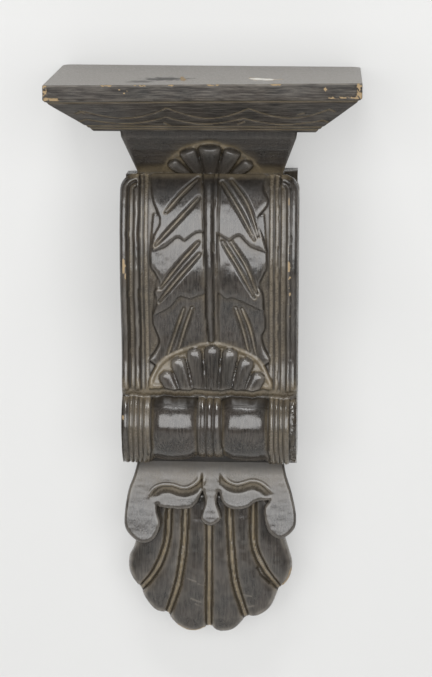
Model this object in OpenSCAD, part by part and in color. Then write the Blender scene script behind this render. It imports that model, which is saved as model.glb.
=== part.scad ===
// Carved wooden corbel bracket: a bevelled shelf on a carved scroll block.
// Millimetres. The wall is the plane y = 0, the front faces -Y, +Z is up.
// The origin is on the rear face, on the centre line of the block.

/* [Shelf] */
// Height of the shelf's top above the origin
shelf_z = 280; // [240:1:330]
// Width of the shelf along the wall
shelf_w = 330; // [270:1:400]
// Depth of the shelf out from the wall
shelf_d = 190; // [175:1:240]
// Height of the square front edge
fascia_h = 16; // [8:1:24]
// Height of the bevel below the front edge
bevel_h = 41; // [20:1:50]
// How far the bevel runs in below the front and the two ends
bevel_run = 48; // [25:1:56]
// Radius of the two rear corners
shelf_corner_r = 10; // [3:1:25]
// Sideways offset of the shelf from the block's centre line
shelf_shift = -3; // [-8:1:8]

/* [Neck] */
// Height of the neck between the shelf and the body
neck_h = 51; // [35:1:70]
// Width of the neck under the shelf
neck_top_w = 190; // [150:1:205]
// Width of the neck where it meets the body
neck_foot_w = 158; // [120:1:176]
// Depth of the neck under the shelf
neck_top_d = 118; // [100:1:135]
// Depth of the neck where it meets the body
neck_foot_d = 86; // [76:1:96]

/* [Body] */
// Width of the scroll body
body_w = 192; // [160:1:230]
// Height of the scroll body from its shoulders to the bottom of its rear block
body_h = 340; // [320:1:410]
// Radius of the rounded shoulders
shoulder_r = 18; // [8:1:28]
// Depth of the square rear block that shows behind the shoulders
rear_d = 28; // [15:1:45]
// Depth of the body at its top edge
top_d = 91; // [80:1:100]
// Depth of the body at the fullest part of its upper swell
swell_d = 118; // [105:1:140]
// Distance of the fullest part below the shoulders
swell_z = 98; // [70:1:125]
// Depth of the body at its waist
waist_d = 104; // [90:1:112]
// Distance of the waist below the shoulders
waist_z = 204; // [185:1:215]

/* [Edge bands] */
// Width of the flat strip at each outer edge
strip_w = 7; // [4:1:12]
// Width of the outer bead
bead_w = 5; // [3:0.5:8]
// Height of the beads above the ground
bead_h = 3.2; // [1.5:0.1:5]
// Width of the cove between the two beads
cove_w = 9; // [5:0.5:12]
// Width of the inner bead
inner_bead_w = 6.5; // [3:0.5:8]

/* [Leaf panel] */
// Half width of the leaf
leaf_half_w = 63; // [52:1:64]
// Thickness of each leaf tier over the one below it
tier_step = 2.4; // [1:0.1:4]
// Width of the midrib at its top
rib_top_w = 17; // [10:1:22]
// Width of the midrib at its foot
rib_foot_w = 9; // [5:1:14]
// Height of the midrib above the uppermost tier
rib_h = 3; // [1:0.5:6]
// Width of a vein cut
vein_w = 2.4; // [1.5:0.1:4]
// Depth of a vein cut
vein_cut = 1.6; // [0.8:0.1:2.2]

/* [Roll] */
// Radius of a barrel at its middle
barrel_r = 37; // [30:0.5:40]
// Radius of a barrel at its ends
barrel_end_r = 31; // [26:0.5:34]
// Half width of the centre reeded band
centre_band = 11.5; // [8:0.5:16]
// Distance of a barrel's outer end from the centre line
barrel_out = 64.5; // [52:0.5:68]
// Radius of the reeded bands
reed_r = 34; // [28:0.5:37]
// Depth of the grooves between reeds
reed_cut = 2; // [1:0.5:4]
// Distance of the roll's axis below the shoulders
roll_z = 276; // [262:1:290]
// Distance of the roll's axis from the wall
roll_y = 86; // [76:1:92]

/* [Apron] */
// Depth of the apron
apron_d = 78; // [66:1:84]
// Half width of the apron across its lobes
apron_half_w = 97; // [85:1:110]
// Height of the apron from the body to the foot of its lobes
apron_h = 106; // [95:1:125]

/* [Shell] */
// Depth of the shell's lobes
shell_d = 57; // [45:1:62]
// Depth of the plain ground behind the lobes
shell_ground_d = 34; // [22:1:40]
// Half width of the shell
shell_half_w = 93; // [80:1:105]
// Distance of the shell's foot below the apron's lobes
shell_h = 120; // [95:1:140]

/* [Hanging holes] */
// Radius of the two blind holes in the rear face
hole_r = 5; // [3:0.5:8]
// Depth of the holes
hole_depth = 25; // [15:1:40]
// Distance of each hole from the centre line
hole_x = 50; // [30:1:70]
// Height of the holes above the origin
hole_z = 120; // [60:1:145]

/* [Hidden] */
$fn = 48;

SHELF_COLOUR = "#4a453f";
CARVED_COLOUR = "#3d3a36";
EPS = 0.01;

// Heights that follow from the sizes above
under_shelf_z = shelf_z - fascia_h - bevel_h;
shoulder_z = under_shelf_z - neck_h;
body_foot_z = shoulder_z - body_h;
roll_axis_z = shoulder_z - roll_z;
apron_top_z = body_foot_z + 24;
apron_foot_z = apron_top_z - apron_h;
shell_foot_z = apron_foot_z - shell_h;

// Positions across the edge bands, out from the centre line
half_w = body_w / 2;
bead_out = half_w - strip_w;
bead_in = bead_out - bead_w;
cove_in = bead_in - cove_w;
inner_bead_in = cove_in - inner_bead_w;

// Eases from a to b as t goes from 0 to 1, level at both ends
function ease(a, b, t) = a + (b - a) * (1 - cos(180 * t)) / 2;

// Depth of the body's ground at a distance s below the shoulders
function ground_d(s) =
    s < swell_z
        ? top_d + (swell_d - top_d) * sqrt(max(0, 1 - pow(1 - s / swell_z, 2)))
        : s < waist_z
            ? ease(swell_d, waist_d, (s - swell_z) / (waist_z - swell_z))
            : ease(waist_d, roll_y + 26, min(1, (s - waist_z) / (roll_z - 26 - waist_z)));

PROFILE_STEPS = 26;
ground_end = roll_z - 10;

// Points down the ground, raised by h, as [y, z]
function ground_line(h, from = 0, to = ground_end) =
    [for (i = [0 : PROFILE_STEPS])
        let (t = i / PROFILE_STEPS, s = from + (to - from) * t * (0.35 + 0.65 * t))
        [-ground_d(s) - h, shoulder_z - s]];

// Draws a [y, z] outline as a solid from x0 to x1
module across(x0, x1) {
    translate([x0, 0, 0])
        rotate([90, 0, 90])
            linear_extrude(x1 - x0)
                children();
}

// Draws an [x, z] outline as a solid from the wall out to depth d
module outwards(d, from = 0) {
    translate([0, -from, 0])
        rotate([90, 0, 0])
            linear_extrude(d - from)
                children();
}

module both_sides() {
    children();
    mirror([1, 0, 0]) children();
}

function reversed(v) = [for (i = [len(v) - 1 : -1 : 0]) v[i]];

// Points of an arc about [x, z], from angle a0 to a1
function arc(x, z, r, a0, a1, steps = 8) =
    [for (i = [0 : steps])
        let (a = a0 + (a1 - a0) * i / steps)
        [x + r * cos(a), z + r * sin(a)]];

// A right half outline, closed by its own mirror image
function mirrored(half) =
    concat(half, reversed([for (p = half) [-p[0], p[1]]]));

// ---- Shelf ----

module shelf_plan() {
    r = shelf_corner_r;
    polygon(concat(
        [[-shelf_w / 2, -shelf_d], [shelf_w / 2, -shelf_d]],
        arc(shelf_w / 2 - r, -r, r, 0, 90),
        arc(-shelf_w / 2 + r, -r, r, 90, 180)));
}

module shelf() {
    step_z = shelf_z - fascia_h;
    color(SHELF_COLOUR)
        translate([shelf_shift, 0, 0])
            intersection() {
                across(-shelf_w / 2, shelf_w / 2)
                    polygon([[0, shelf_z], [-shelf_d, shelf_z], [-shelf_d, step_z],
                             [-shelf_d + bevel_run, under_shelf_z], [0, under_shelf_z]]);
                outwards(shelf_d)
                    polygon(mirrored([[shelf_w / 2 - bevel_run, under_shelf_z],
                                      [shelf_w / 2, step_z], [shelf_w / 2, shelf_z]]));
                translate([0, 0, under_shelf_z])
                    linear_extrude(fascia_h + bevel_h)
                        shelf_plan();
            }
}

// ---- Neck ----

module neck() {
    upright = 10;
    sink = 12;
    intersection() {
        across(-neck_top_w / 2, neck_top_w / 2)
            polygon([[0, under_shelf_z], [-neck_top_d, under_shelf_z],
                     [-neck_top_d + 2, under_shelf_z - upright],
                     [-neck_foot_d, shoulder_z], [-neck_foot_d, shoulder_z - sink],
                     [0, shoulder_z - sink]]);
        outwards(neck_top_d)
            polygon(mirrored([[neck_foot_w / 2, shoulder_z - sink], [neck_foot_w / 2, shoulder_z],
                              [neck_top_w / 2 - 2, under_shelf_z - upright],
                              [neck_top_w / 2, under_shelf_z]]));
    }
}

// ---- Scroll body ----

FRONT_REACH = swell_d + 30;

// Front outline of the scroll, with its rounded shoulders
module body_outline() {
    polygon(mirrored(concat(
        [[half_w - 9, body_foot_z + 11], [half_w, body_foot_z + 20]],
        arc(half_w - shoulder_r, shoulder_z - shoulder_r, shoulder_r, 0, 90))));
}

module ground() {
    chin_z = roll_axis_z - 26;
    across(-half_w, half_w)
        polygon(concat(
            [[0, shoulder_z]],
            ground_line(0),
            [[-roll_y - 12, chin_z], [-apron_d + 6, body_foot_z + 11], [0, body_foot_z + 11]]));
}

// A strip that follows the ground, raised by h, from s0 to s1 below the shoulders
module raised(x0, x1, h, s0 = 0, s1 = ground_end) {
    root = 6;
    across(x0, x1)
        polygon(concat(ground_line(h, s0, s1), reversed(ground_line(-root, s0, s1))));
}

// A bead: a broad low strip with a narrower one on top
module bead(x0, x1) {
    round_in = (x1 - x0) * 0.2;
    raised(x0, x1, bead_h * 0.62);
    raised(x0 + round_in, x1 - round_in, bead_h);
}

module edge_bands() {
    both_sides() {
        bead(bead_in, bead_out);
        bead(inner_bead_in, cove_in);
        raised(bead_out, half_w, bead_h * 0.4);
        raised(bead_in - 3, bead_in, bead_h * 0.45);
    }
}

// ---- Leaf panel ----

tier_pitch = (waist_z + 6) / 3;
tier_len = tier_pitch + 11;

// Right half of a leaf tier that starts at s0, as [x, z]
function tier_half(s0) =
    let (w = leaf_half_w, n = tier_len)
    [for (p = [[0, 0], [0.9, 0], [0.95, 0.12], [1, 0.36], [0.83, 0.58], [0.95, 0.8], [1, 1],
               [0.76, 0.9], [0.55, 0.8], [0.38, 0.86], [0.27, 0.84], [0.14, 0.75], [0, 0.75]])
        [p[0] * w, shoulder_z - s0 - p[1] * n]];

// A vein cut, a long thin lens from a to b
module vein(a, b) {
    along = b - a;
    n = norm(along);
    side = [-along[1], along[0]] / n * vein_w / 2;
    polygon([a, a + along * 0.35 + side, b, a + along * 0.35 - side]);
}

module tier_veins(s0) {
    w = leaf_half_w;
    z0 = shoulder_z - s0;
    both_sides() {
        outwards(FRONT_REACH) vein([0.22 * w, z0 - 0.1 * tier_len], [0.78 * w, z0 - 0.78 * tier_len]);
        outwards(FRONT_REACH) vein([0.36 * w, z0 - 0.07 * tier_len], [0.86 * w, z0 - 0.72 * tier_len]);
    }
}

module leaf_tier(k) {
    h = (3 - k) * tier_step;
    s0 = max(0, k * tier_pitch - 6);
    s1 = min(ground_end, s0 + tier_len + 2);
    difference() {
        intersection() {
            raised(-leaf_half_w, leaf_half_w, h, s0, s1);
            outwards(FRONT_REACH) polygon(mirrored(tier_half(s0)));
        }
        intersection() {
            across(-leaf_half_w, leaf_half_w)
                polygon(concat(ground_line(h + 8, s0, s1),
                               reversed(ground_line(h - vein_cut, s0, s1))));
            tier_veins(s0);
        }
    }
}

module midrib() {
    foot_s = waist_z - 16;
    top_z = shoulder_z - 4;
    foot_z = shoulder_z - foot_s;
    full_h = 3 * tier_step + rib_h;
    crown = 0.55;
    for (layer = [[1, full_h - 1.6], [crown, full_h]])
        intersection() {
            raised(-rib_top_w / 2, rib_top_w / 2, layer[1], 0, foot_s + 2);
            outwards(FRONT_REACH)
                polygon(mirrored([[layer[0] * rib_foot_w / 2, foot_z], [layer[0] * rib_top_w / 2, top_z]]));
        }
}

// ---- Palmettes and shell: petals that fan out ----

// A round petal along +Z: a taper from r0 to r1 with a rounded tip at the end of len
module petal(len, r0, r1) {
    tip = r1 * 1.1;
    rotate_extrude()
        polygon(concat(
            [[0, 0], [r0, 0]],
            [for (a = [0 : 15 : 75]) [r1 * cos(a), len - tip + tip * sin(a)]],
            [[0, len]]));
}

// A fan of petals round one root, each starting start out from it, leaning forwards by lean degrees
module fan(root, angles, start, len, r0, r1, lean) {
    translate(root)
        rotate([lean, 0, 0])
            for (a = angles)
                rotate([0, a, 0])
                    translate([0, 0, start])
                        petal(len * (1 + abs(a) / 600) - start, r0, r1 * (1 - abs(a) / 260));
}

module upper_palmette() {
    lean = atan((neck_top_d - neck_foot_d) / neck_h);
    fan([0, -neck_foot_d - 8, shoulder_z - 6], [-56, -29, 0, 29, 56], 12, 0.9 * neck_h, 3.5, 10, lean);
}

// The plain rim that the lower palmette's fingers lie on
module palmette_rim(root_z, r) {
    intersection() {
        raised(-r, r, 3 * tier_step, roll_z - 100, ground_end);
        outwards(FRONT_REACH)
            polygon(concat(arc(0, root_z, r, 0, 180, 24), [[-r, root_z - 20], [r, root_z - 20]]));
    }
}

module lower_palmette() {
    root_s = roll_z - 34;
    root_z = shoulder_z - root_s;
    reach = 54;
    palmette_rim(root_z, reach + 8);
    fan([0, -ground_d(root_s) - 3, root_z], [-63, -42, -21, 0, 21, 42, 63], 16, reach, 2.6, 8, 3);
}

// ---- Roll ----

// Radius of one reed across its width, at u from -1 to 1
function reed_at(u) = reed_r - reed_cut * (1 - sqrt(max(0, 1 - u * u)));

// Points across reeds from x0 to x1, as [radius, x]
function reed_points(x0, x1, reeds) =
    [for (k = [0 : reeds - 1], u = [-1, -0.75, 0, 0.75, 1])
        let (w = (x1 - x0) / reeds, inset = u == -1 ? 0.02 : u == 1 ? -0.02 : 0)
        [reed_at(u), x0 + w * (k + 0.5 + u / 2) + inset]];

function barrel_points(x0, x1) =
    [for (i = [0 : 10])
        let (u = 2 * i / 10 - 1)
        [barrel_end_r + (barrel_r - barrel_end_r) * (1 - u * u), x0 + (x1 - x0) * (u + 1) / 2]];

module roll() {
    gap = 0.8;
    disc_r = reed_r - 5;
    disc_in = bead_out - 1;
    right = concat(
        barrel_points(centre_band + gap, barrel_out - gap),
        reed_points(barrel_out, disc_in, 4),
        [[disc_r, disc_in + 0.1], [disc_r, half_w - EPS]]);
    outline = concat(
        [[0, -half_w + EPS]],
        reversed([for (p = right) [p[0], -p[1]]]),
        reed_points(-centre_band, centre_band, 3),
        right,
        [[0, half_w - EPS]]);
    translate([0, -roll_y, roll_axis_z])
        rotate([0, 90, 0])
            rotate_extrude()
                polygon(outline);
}

// ---- Apron ----

function apron_half() =
    let (w = apron_half_w, top = apron_top_z, foot = apron_foot_z, lobe = 18,
         swag_z = foot + 0.36 * apron_h, tongue_z = foot + 0.18 * apron_h)
    concat(
        arc(0, tongue_z + 10, 11, -90, 0, 4),
        [[6.5, tongue_z + 26], [9, tongue_z + 38], [13, swag_z + 8]],
        arc(0.35 * w, swag_z + 8, 0.21 * w, 200, 300, 5),
        [[0.6 * w, swag_z + 3], [w - 2 * lobe - 1, swag_z - 8], [w - 2 * lobe, foot + lobe]],
        arc(w - lobe, foot + lobe, lobe, 190, 360, 8),
        [[w - 2, foot + 0.42 * apron_h], [w - 8, foot + 0.62 * apron_h], [w - 17, top]]);

module apron() {
    side = [[0, apron_top_z], [-apron_d + 8, apron_top_z], [-apron_d + 1, apron_top_z - 0.32 * apron_h],
            [-apron_d, apron_top_z - 0.5 * apron_h], [-apron_d + 3, apron_top_z - 0.8 * apron_h],
            [-apron_d + 7, apron_foot_z], [0, apron_foot_z]];
    intersection() {
        outwards(apron_d) polygon(mirrored(apron_half()));
        across(-apron_half_w, apron_half_w) polygon(side);
    }
    apron_ridges();
}

// The two S-shaped ridges that rise from the tongue to the lobes
module apron_ridges() {
    ridge_w = 5;
    z0 = apron_top_z - 0.42 * apron_h;
    line = [for (i = [0 : 12])
        let (t = i / 12)
        [0.12 * apron_half_w + 0.58 * apron_half_w * t, z0 + 0.16 * apron_h * (pow(1 - t, 3) - 0.3 * sin(360 * t))]];
    both_sides()
        outwards(apron_d + 3, apron_d - 8)
            polygon(concat(line, reversed([for (p = line) p - [0, ridge_w]])));
}

// ---- Shell ----

// Where the scalloped edge of the right half turns from one lobe to the next,
// from the middle of the foot up to the side, as [x, height above the foot]
function shell_notches() =
    let (w = shell_half_w, h = shell_h)
    [[0, 0.05 * h], [0.52 * w, 0.19 * h], [0.84 * w, 0.43 * h], [0.9 * w, 0.87 * h]];

SCALLOPS = [0.27, 0.19, 0.2];

// An arc from a to b that swells to the right of the line between them by part of its length
function scallop(a, b, part, steps = 6) =
    let (chord = b - a, n = norm(chord), sag = part * n, r = (n * n / 4 + sag * sag) / (2 * sag),
         out = [chord[1], -chord[0]] / n, centre = (a + b) / 2 + out * (sag - r),
         from = atan2((a - centre)[1], (a - centre)[0]), half = asin(n / 2 / r))
    arc(centre[0], centre[1], r, from, from + 2 * half, steps);

module shell_outline() {
    root_z = apron_foot_z + 0.5 * apron_h;
    at = [for (p = shell_notches()) [p[0], shell_foot_z + p[1]]];
    polygon(mirrored(concat(
        [for (k = [0 : 2]) each scallop(at[k], at[k + 1], SCALLOPS[k])],
        [[0.7 * shell_half_w, root_z]])));
}

// One lobe, a round petal from the root to past the scalloped edge
module lobe(k) {
    root_z = apron_foot_z + 0.5 * apron_h;
    roots = [0.13, 0.37, 0.56];
    past = 8;
    at = shell_notches();
    mid = (at[k] + at[k + 1]) / 2;
    r = norm(at[k + 1] - at[k]) * 0.56;
    root = [roots[k] * shell_half_w, root_z];
    tip = [mid[0], shell_foot_z + mid[1]];
    run = tip - root;
    translate([root[0], -shell_d + r, root_z])
        rotate([0, atan2(run[0], run[1]), 0])
            petal(norm(run) + r * 0.55 + past, 0.15 * shell_half_w, r);
}

// A narrow fillet that lies in the valley between two lobes
module valley_fillet(root_x, foot) {
    root_z = apron_foot_z + 0.4 * apron_h;
    w = 3;
    outwards(shell_d - 8)
        polygon([[root_x - w / 2, root_z], [root_x + w / 2, root_z], foot + [w / 2, 0], foot - [w / 2, 0]]);
}

module shell() {
    at = shell_notches();
    intersection() {
        union() {
            both_sides()
                for (k = [0 : 2]) lobe(k);
            outwards(shell_ground_d) shell_outline();
        }
        outwards(shell_d + 1) shell_outline();
    }
    both_sides() {
        valley_fillet(0.26 * shell_half_w, [at[1][0] - 1, shell_foot_z + at[1][1] + 4]);
        valley_fillet(0.49 * shell_half_w, [at[2][0] - 3, shell_foot_z + at[2][1] + 2]);
    }
    valley_fillet(0, [0, shell_foot_z + at[0][1] + 4]);
}

// ---- The carved block ----

module rear_block() {
    translate([-half_w, -rear_d, body_foot_z])
        cube([body_w, rear_d, body_h]);
}

// The sunk field in each side of the scroll, which follows its outline
module side_fields() {
    margin = 13;
    sink = 2.5;
    line = [for (p = ground_line(-margin, margin, roll_z - 52)) p];
    both_sides()
        across(half_w - sink, half_w + 5)
            polygon(concat(line, [[-rear_d - margin, shoulder_z - roll_z + 52], [-rear_d - margin, shoulder_z - margin]]));
}

// The ring cut round the volute's eye in each side
module volute_rings() {
    both_sides()
        translate([half_w - 2.5, -roll_y, roll_axis_z])
            rotate([0, 90, 0])
                difference() {
                    cylinder(r = barrel_end_r - 9, h = 10);
                    cylinder(r = barrel_end_r - 15, h = 10);
                }
}

module hanging_holes() {
    both_sides()
        translate([hole_x, 1, hole_z])
            rotate([90, 0, 0])
                cylinder(r = hole_r, h = hole_depth + 1);
}

module carved_corbel() {
    color(CARVED_COLOUR)
        difference() {
            union() {
                neck();
                rear_block();
                intersection() {
                    union() {
                        ground();
                        edge_bands();
                    }
                    outwards(FRONT_REACH) body_outline();
                }
                for (k = [0 : 2]) leaf_tier(k);
                midrib();
                upper_palmette();
                lower_palmette();
                roll();
                apron();
                shell();
            }
            side_fields();
            volute_rings();
            hanging_holes();
        }
}

shelf();
carved_corbel();
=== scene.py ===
"""A carved, ebonised wooden corbel bracket: its surfaces, finishes, lights and camera.

Lengths inside the classes are millimetres, in the frame of the CAD model: the wall is
y = 0, the front faces -Y and +Z is up. They become metres when a mesh is made.
"""

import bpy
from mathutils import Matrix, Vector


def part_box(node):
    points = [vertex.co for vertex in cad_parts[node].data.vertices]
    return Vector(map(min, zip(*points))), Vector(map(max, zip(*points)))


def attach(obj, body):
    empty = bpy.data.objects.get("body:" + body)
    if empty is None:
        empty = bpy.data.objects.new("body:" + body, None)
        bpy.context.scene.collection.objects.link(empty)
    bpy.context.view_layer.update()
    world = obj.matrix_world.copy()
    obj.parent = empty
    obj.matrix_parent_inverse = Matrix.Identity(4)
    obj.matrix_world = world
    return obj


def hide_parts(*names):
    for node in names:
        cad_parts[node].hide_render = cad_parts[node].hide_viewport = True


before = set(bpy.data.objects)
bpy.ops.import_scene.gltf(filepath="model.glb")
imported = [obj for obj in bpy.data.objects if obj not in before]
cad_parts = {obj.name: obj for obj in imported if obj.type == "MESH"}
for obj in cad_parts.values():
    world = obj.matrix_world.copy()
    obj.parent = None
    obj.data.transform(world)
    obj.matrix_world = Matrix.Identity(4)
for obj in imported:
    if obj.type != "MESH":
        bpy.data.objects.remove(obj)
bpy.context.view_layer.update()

import logging
import math
from dataclasses import dataclass, field
from enum import Enum
from typing import Sequence

import bpy
import numpy as np
from mathutils import Vector
from mathutils.bvhtree import BVHTree
from mathutils.kdtree import KDTree

log = logging.getLogger("corbel")

Points = Sequence[tuple[float, float]]
MM = 0.001
# Of these marks, deep is painted shade in hollows, undersides and under overhangs, and real stains on the shelf's top;
# the second mark is wear on high places, and a painted reflection on the shelf's top.
MARKS = ("dust", "wear_and_sheen", "bare", "deep")


# ---------------------------------------------------------------- shaping helpers


def smooth(start: float, end: float, value: np.ndarray) -> np.ndarray:
    """Ease from 0 at start to 1 at end, level at both ends.

    Args:
        start: The value at which the result is 0.
        end: The value at which the result is 1; it may be lower than start.
        value: The numbers to ease.

    Returns:
        Numbers from 0 to 1.
    """
    t = np.clip((value - start) / (end - start), 0.0, 1.0)
    return t * t * (3.0 - 2.0 * t)


def dome(u: np.ndarray) -> np.ndarray:
    """Height of a half round at u, 1 in the middle and 0 at -1 and 1."""
    return np.sqrt(np.clip(1.0 - u * u, 0.0, 1.0))


def wander(t: np.ndarray, period: float, seed: int) -> np.ndarray:
    """A slow, smooth wobble, as a hand-guided gouge leaves.

    Args:
        t: Distance along the cut.
        period: The longest wave of the wobble.
        seed: Which wobble it is.

    Returns:
        Numbers between about -1 and 1.
    """
    phase = np.random.default_rng(seed).uniform(0.0, 2.0 * math.pi, 3)
    waves = ((1.0, 0.5), (0.47, 0.3), (0.23, 0.2))
    return sum(
        part * np.sin(2.0 * math.pi * t / (period * size) + turn)
        for (size, part), turn in zip(waves, phase)
    )


def mottle(x: np.ndarray, z: np.ndarray, size: float, seed: int) -> np.ndarray:
    """Smooth patches of noise over a surface.

    Args:
        x: First coordinate of each point.
        z: Second coordinate of each point.
        size: Width of a patch.
        seed: Which noise it is.

    Returns:
        Numbers from 0 to 1.
    """
    cells = 512
    lattice = np.random.default_rng(seed).random((cells, cells))
    gx, gz = x / size + cells / 2.0, z / size + cells / 2.0
    ix, iz = np.floor(gx).astype(int), np.floor(gz).astype(int)
    fx, fz = gx - ix, gz - iz
    fx, fz = fx * fx * (3 - 2 * fx), fz * fz * (3 - 2 * fz)
    ix, iz = ix % (cells - 1), iz % (cells - 1)
    low = lattice[iz, ix] * (1 - fx) + lattice[iz, ix + 1] * fx
    high = lattice[iz + 1, ix] * (1 - fx) + lattice[iz + 1, ix + 1] * fx
    return low * (1 - fz) + high * fz


def blur(values: np.ndarray, reach: float) -> np.ndarray:
    """Average a grid of numbers over its neighbours.

    Args:
        values: The grid.
        reach: Spread of the average, in cells.

    Returns:
        The averaged grid.
    """
    taps = int(math.ceil(2.5 * reach))
    weights = np.exp(-0.5 * (np.arange(-taps, taps + 1) / reach) ** 2)
    weights /= weights.sum()
    for axis in (0, 1):
        pad = [(0, 0), (0, 0)]
        pad[axis] = (taps, taps)
        wide = np.pad(values, pad, mode="edge")
        length = values.shape[axis]
        values = sum(
            w * np.take(wide, np.arange(k, k + length), axis=axis)
            for k, w in enumerate(weights)
        )
    return values


def soft_line(points: Points, steps: int = 8) -> np.ndarray:
    """Run a smooth curve through a few points.

    Args:
        points: The points that shape the curve.
        steps: Points made for each span.

    Returns:
        The curve as an array of points.
    """
    p = np.asarray(points, float)
    p = np.vstack([2 * p[0] - p[1], p, 2 * p[-1] - p[-2]])
    made = []
    for a, b, c, d in zip(p[:-3], p[1:-2], p[2:-1], p[3:]):
        for t in np.arange(steps) / steps:
            made.append(0.5 * (2 * b + (c - a) * t + (2 * a - 5 * b + 4 * c - d) * t**2
                               + (3 * b - a - 3 * c + d) * t**3))
    made.append(p[-2])
    return np.array(made)


def joined(*runs: Points) -> np.ndarray:
    """An outline made of smooth runs that meet at corners."""
    return np.vstack([soft_line(run) if len(run) > 2 else np.asarray(run, float) for run in runs])


def along(x: np.ndarray, z: np.ndarray, line: Points) -> tuple[np.ndarray, np.ndarray]:
    """Distance of points from a line, and where along it they lie.

    Args:
        x: First coordinate of each point.
        z: Second coordinate of each point.
        line: The points of the line.

    Returns:
        The distances, and the places along the line from 0 to 1.
    """
    p = np.asarray(line, float)
    spans = np.linalg.norm(np.diff(p, axis=0), axis=1)
    total, done = spans.sum(), 0.0
    best, place = np.full(x.shape, 1e9), np.zeros(x.shape)
    for a, b, span in zip(p[:-1], p[1:], spans):
        if span == 0:
            continue
        d = (b - a) / span
        t = np.clip((x - a[0]) * d[0] + (z - a[1]) * d[1], 0, span)
        away = np.hypot(x - a[0] - t * d[0], z - a[1] - t * d[1])
        near = away < best
        best, place = np.where(near, away, best), np.where(near, (done + t) / total, place)
        done += span
    return best, place


def inside(x: np.ndarray, z: np.ndarray, outline: Points) -> np.ndarray:
    """Distance of points inside a closed outline, negative outside it.

    Args:
        x: First coordinate of each point.
        z: Second coordinate of each point.
        outline: The outline's points, in order.

    Returns:
        The signed distances.
    """
    p = np.asarray(outline, float)
    ring = np.vstack([p, p[:1]])
    away, _ = along(x, z, ring)
    odd = np.zeros(x.shape, bool)
    for (ax, az), (bx, bz) in zip(ring[:-1], ring[1:]):
        if az == bz:
            continue
        crosses = (az > z) != (bz > z)
        odd ^= crosses & (x < ax + (z - az) * (bx - ax) / (bz - az))
    return np.where(odd, away, -away)


def vein(x: np.ndarray, z: np.ndarray, line: Points, width: float, depth: float) -> np.ndarray:
    """Depth of the two V cuts that part at a vein's start and meet at its tip.

    Args:
        x: First coordinate of each point.
        z: Second coordinate of each point.
        line: The line between the two cuts.
        width: How far apart the cuts are at the vein's middle.
        depth: Depth of the cuts.

    Returns:
        How much wood is taken away at each point.
    """
    away, place = along(x, z, line)
    bow = np.sqrt(np.clip(4.0 * (place + 0.08) * (1.0 - place), 0.0, 1.0))
    cut = np.clip(1.0 - np.abs(away - 0.5 * width * bow) / 1.35, 0.0, 1.0)
    rib = 0.8 * smooth(0.5 * width, 0.0, away) * bow
    return depth * cut * smooth(0.0, 0.06, bow) - rib


# ---------------------------------------------------------------- solids


@dataclass
class Solid:
    """A closed mesh in the making, in millimetres, with the marks of wear, dust and painted shade on its points."""

    points: np.ndarray
    faces: list[tuple[int, ...]]
    marks: np.ndarray

    def mesh(self, name: str) -> bpy.types.Mesh:
        """Make the Blender mesh.

        Args:
            name: The mesh's name.

        Returns:
            The mesh, in metres, with one number a point for each mark.
        """
        made = bpy.data.meshes.new(name)
        made.from_pydata((self.points * MM).tolist(), [], self.faces)
        made.validate()
        for k, mark in enumerate(MARKS):
            layer = made.attributes.new(mark, "FLOAT", "POINT")
            layer.data.foreach_set("value", self.marks[:, k].astype(np.float32))
        return made

    def piece(self, name: str) -> bpy.types.Object:
        """An object of this solid, linked to the scene."""
        made = bpy.data.objects.new(name, self.mesh(name))
        bpy.context.scene.collection.objects.link(made)
        return made


def close_sheet(front: np.ndarray, marks: np.ndarray, keep: np.ndarray, wall_steps: int,
                narrow: float = 0.0, drop: float = 0.0) -> Solid:
    """Turn a grid of front points into a solid that goes back to the wall plane.

    Args:
        front: Points of the carved front, as rows and columns of x, y, z.
        marks: The marks of wear, dust and painted shade on those points.
        keep: Which cells of the grid are wood.
        wall_steps: Rows of faces in the sides.
        narrow: Share of its width that the solid loses on its way back.
        drop: How far its sides fall on their way back.

    Returns:
        The closed solid.
    """
    rows, cols = front.shape[:2]
    index = np.arange(rows * cols).reshape(rows, cols)
    a, b = index[:-1, :-1][keep], index[:-1, 1:][keep]
    c, d = index[1:, 1:][keep], index[1:, :-1][keep]
    quads = np.stack([a, d, c, b], axis=1)
    edges = np.concatenate([quads[:, [k, (k + 1) % 4]] for k in range(4)])
    known = {(int(p), int(q)) for p, q in edges}
    rim = {p: q for p, q in known if (q, p) not in known}
    used, order = np.unique(quads, return_inverse=True)
    quads = order.reshape(quads.shape)
    renumber = {int(old): new for new, old in enumerate(used)}
    points = [front.reshape(-1, 3)[used]]
    age = [marks.reshape(-1, len(MARKS))[used]]
    faces = [tuple(q) for q in quads.tolist()]
    loop, at = [], next(iter(rim))
    while at in rim:
        loop.append(renumber[at])
        at = rim.pop(at)
    edge, count = points[0][loop], len(used)
    last = loop
    for step in range(1, wall_steps + 1):
        t = step / wall_steps
        ring = edge * (1 - narrow * t, 1 - t, 1) - (0, 0, drop * t)
        new = list(range(count, count + len(loop)))
        count += len(loop)
        points.append(ring)
        age.append(np.tile((0.22, 0.0, 0.0, 0.0), (len(loop), 1)))
        n = len(loop)
        faces += [(last[k], new[k], new[(k + 1) % n], last[(k + 1) % n]) for k in range(n)]
        last = new
    faces.append(tuple(last[::-1]))
    return Solid(np.vstack(points), faces, np.vstack(age))


def cavity(depth: np.ndarray, reaches: Sequence[tuple[float, float]]) -> np.ndarray:
    """How much dust lies on each point of a carved grid, or how much shade is painted there: more where it is sunk.

    Args:
        depth: Height of the wood above its ground, in millimetres.
        reaches: Pairs of a reach in cells and the sinking, in millimetres, that fills it.

    Returns:
        Numbers from 0 to 1.
    """
    parts = [np.clip((blur(depth, reach) - depth) / full, 0.0, 1.0) for reach, full in reaches]
    return np.clip(sum(parts), 0.0, 1.0)


def proud(depth: np.ndarray, reach: float, full: float) -> np.ndarray:
    """How much hands have worn each point of a carved grid: more where it stands proud."""
    return np.clip((depth - blur(depth, reach)) / full, 0.0, 1.0)


# ---------------------------------------------------------------- geometry nodes


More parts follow.
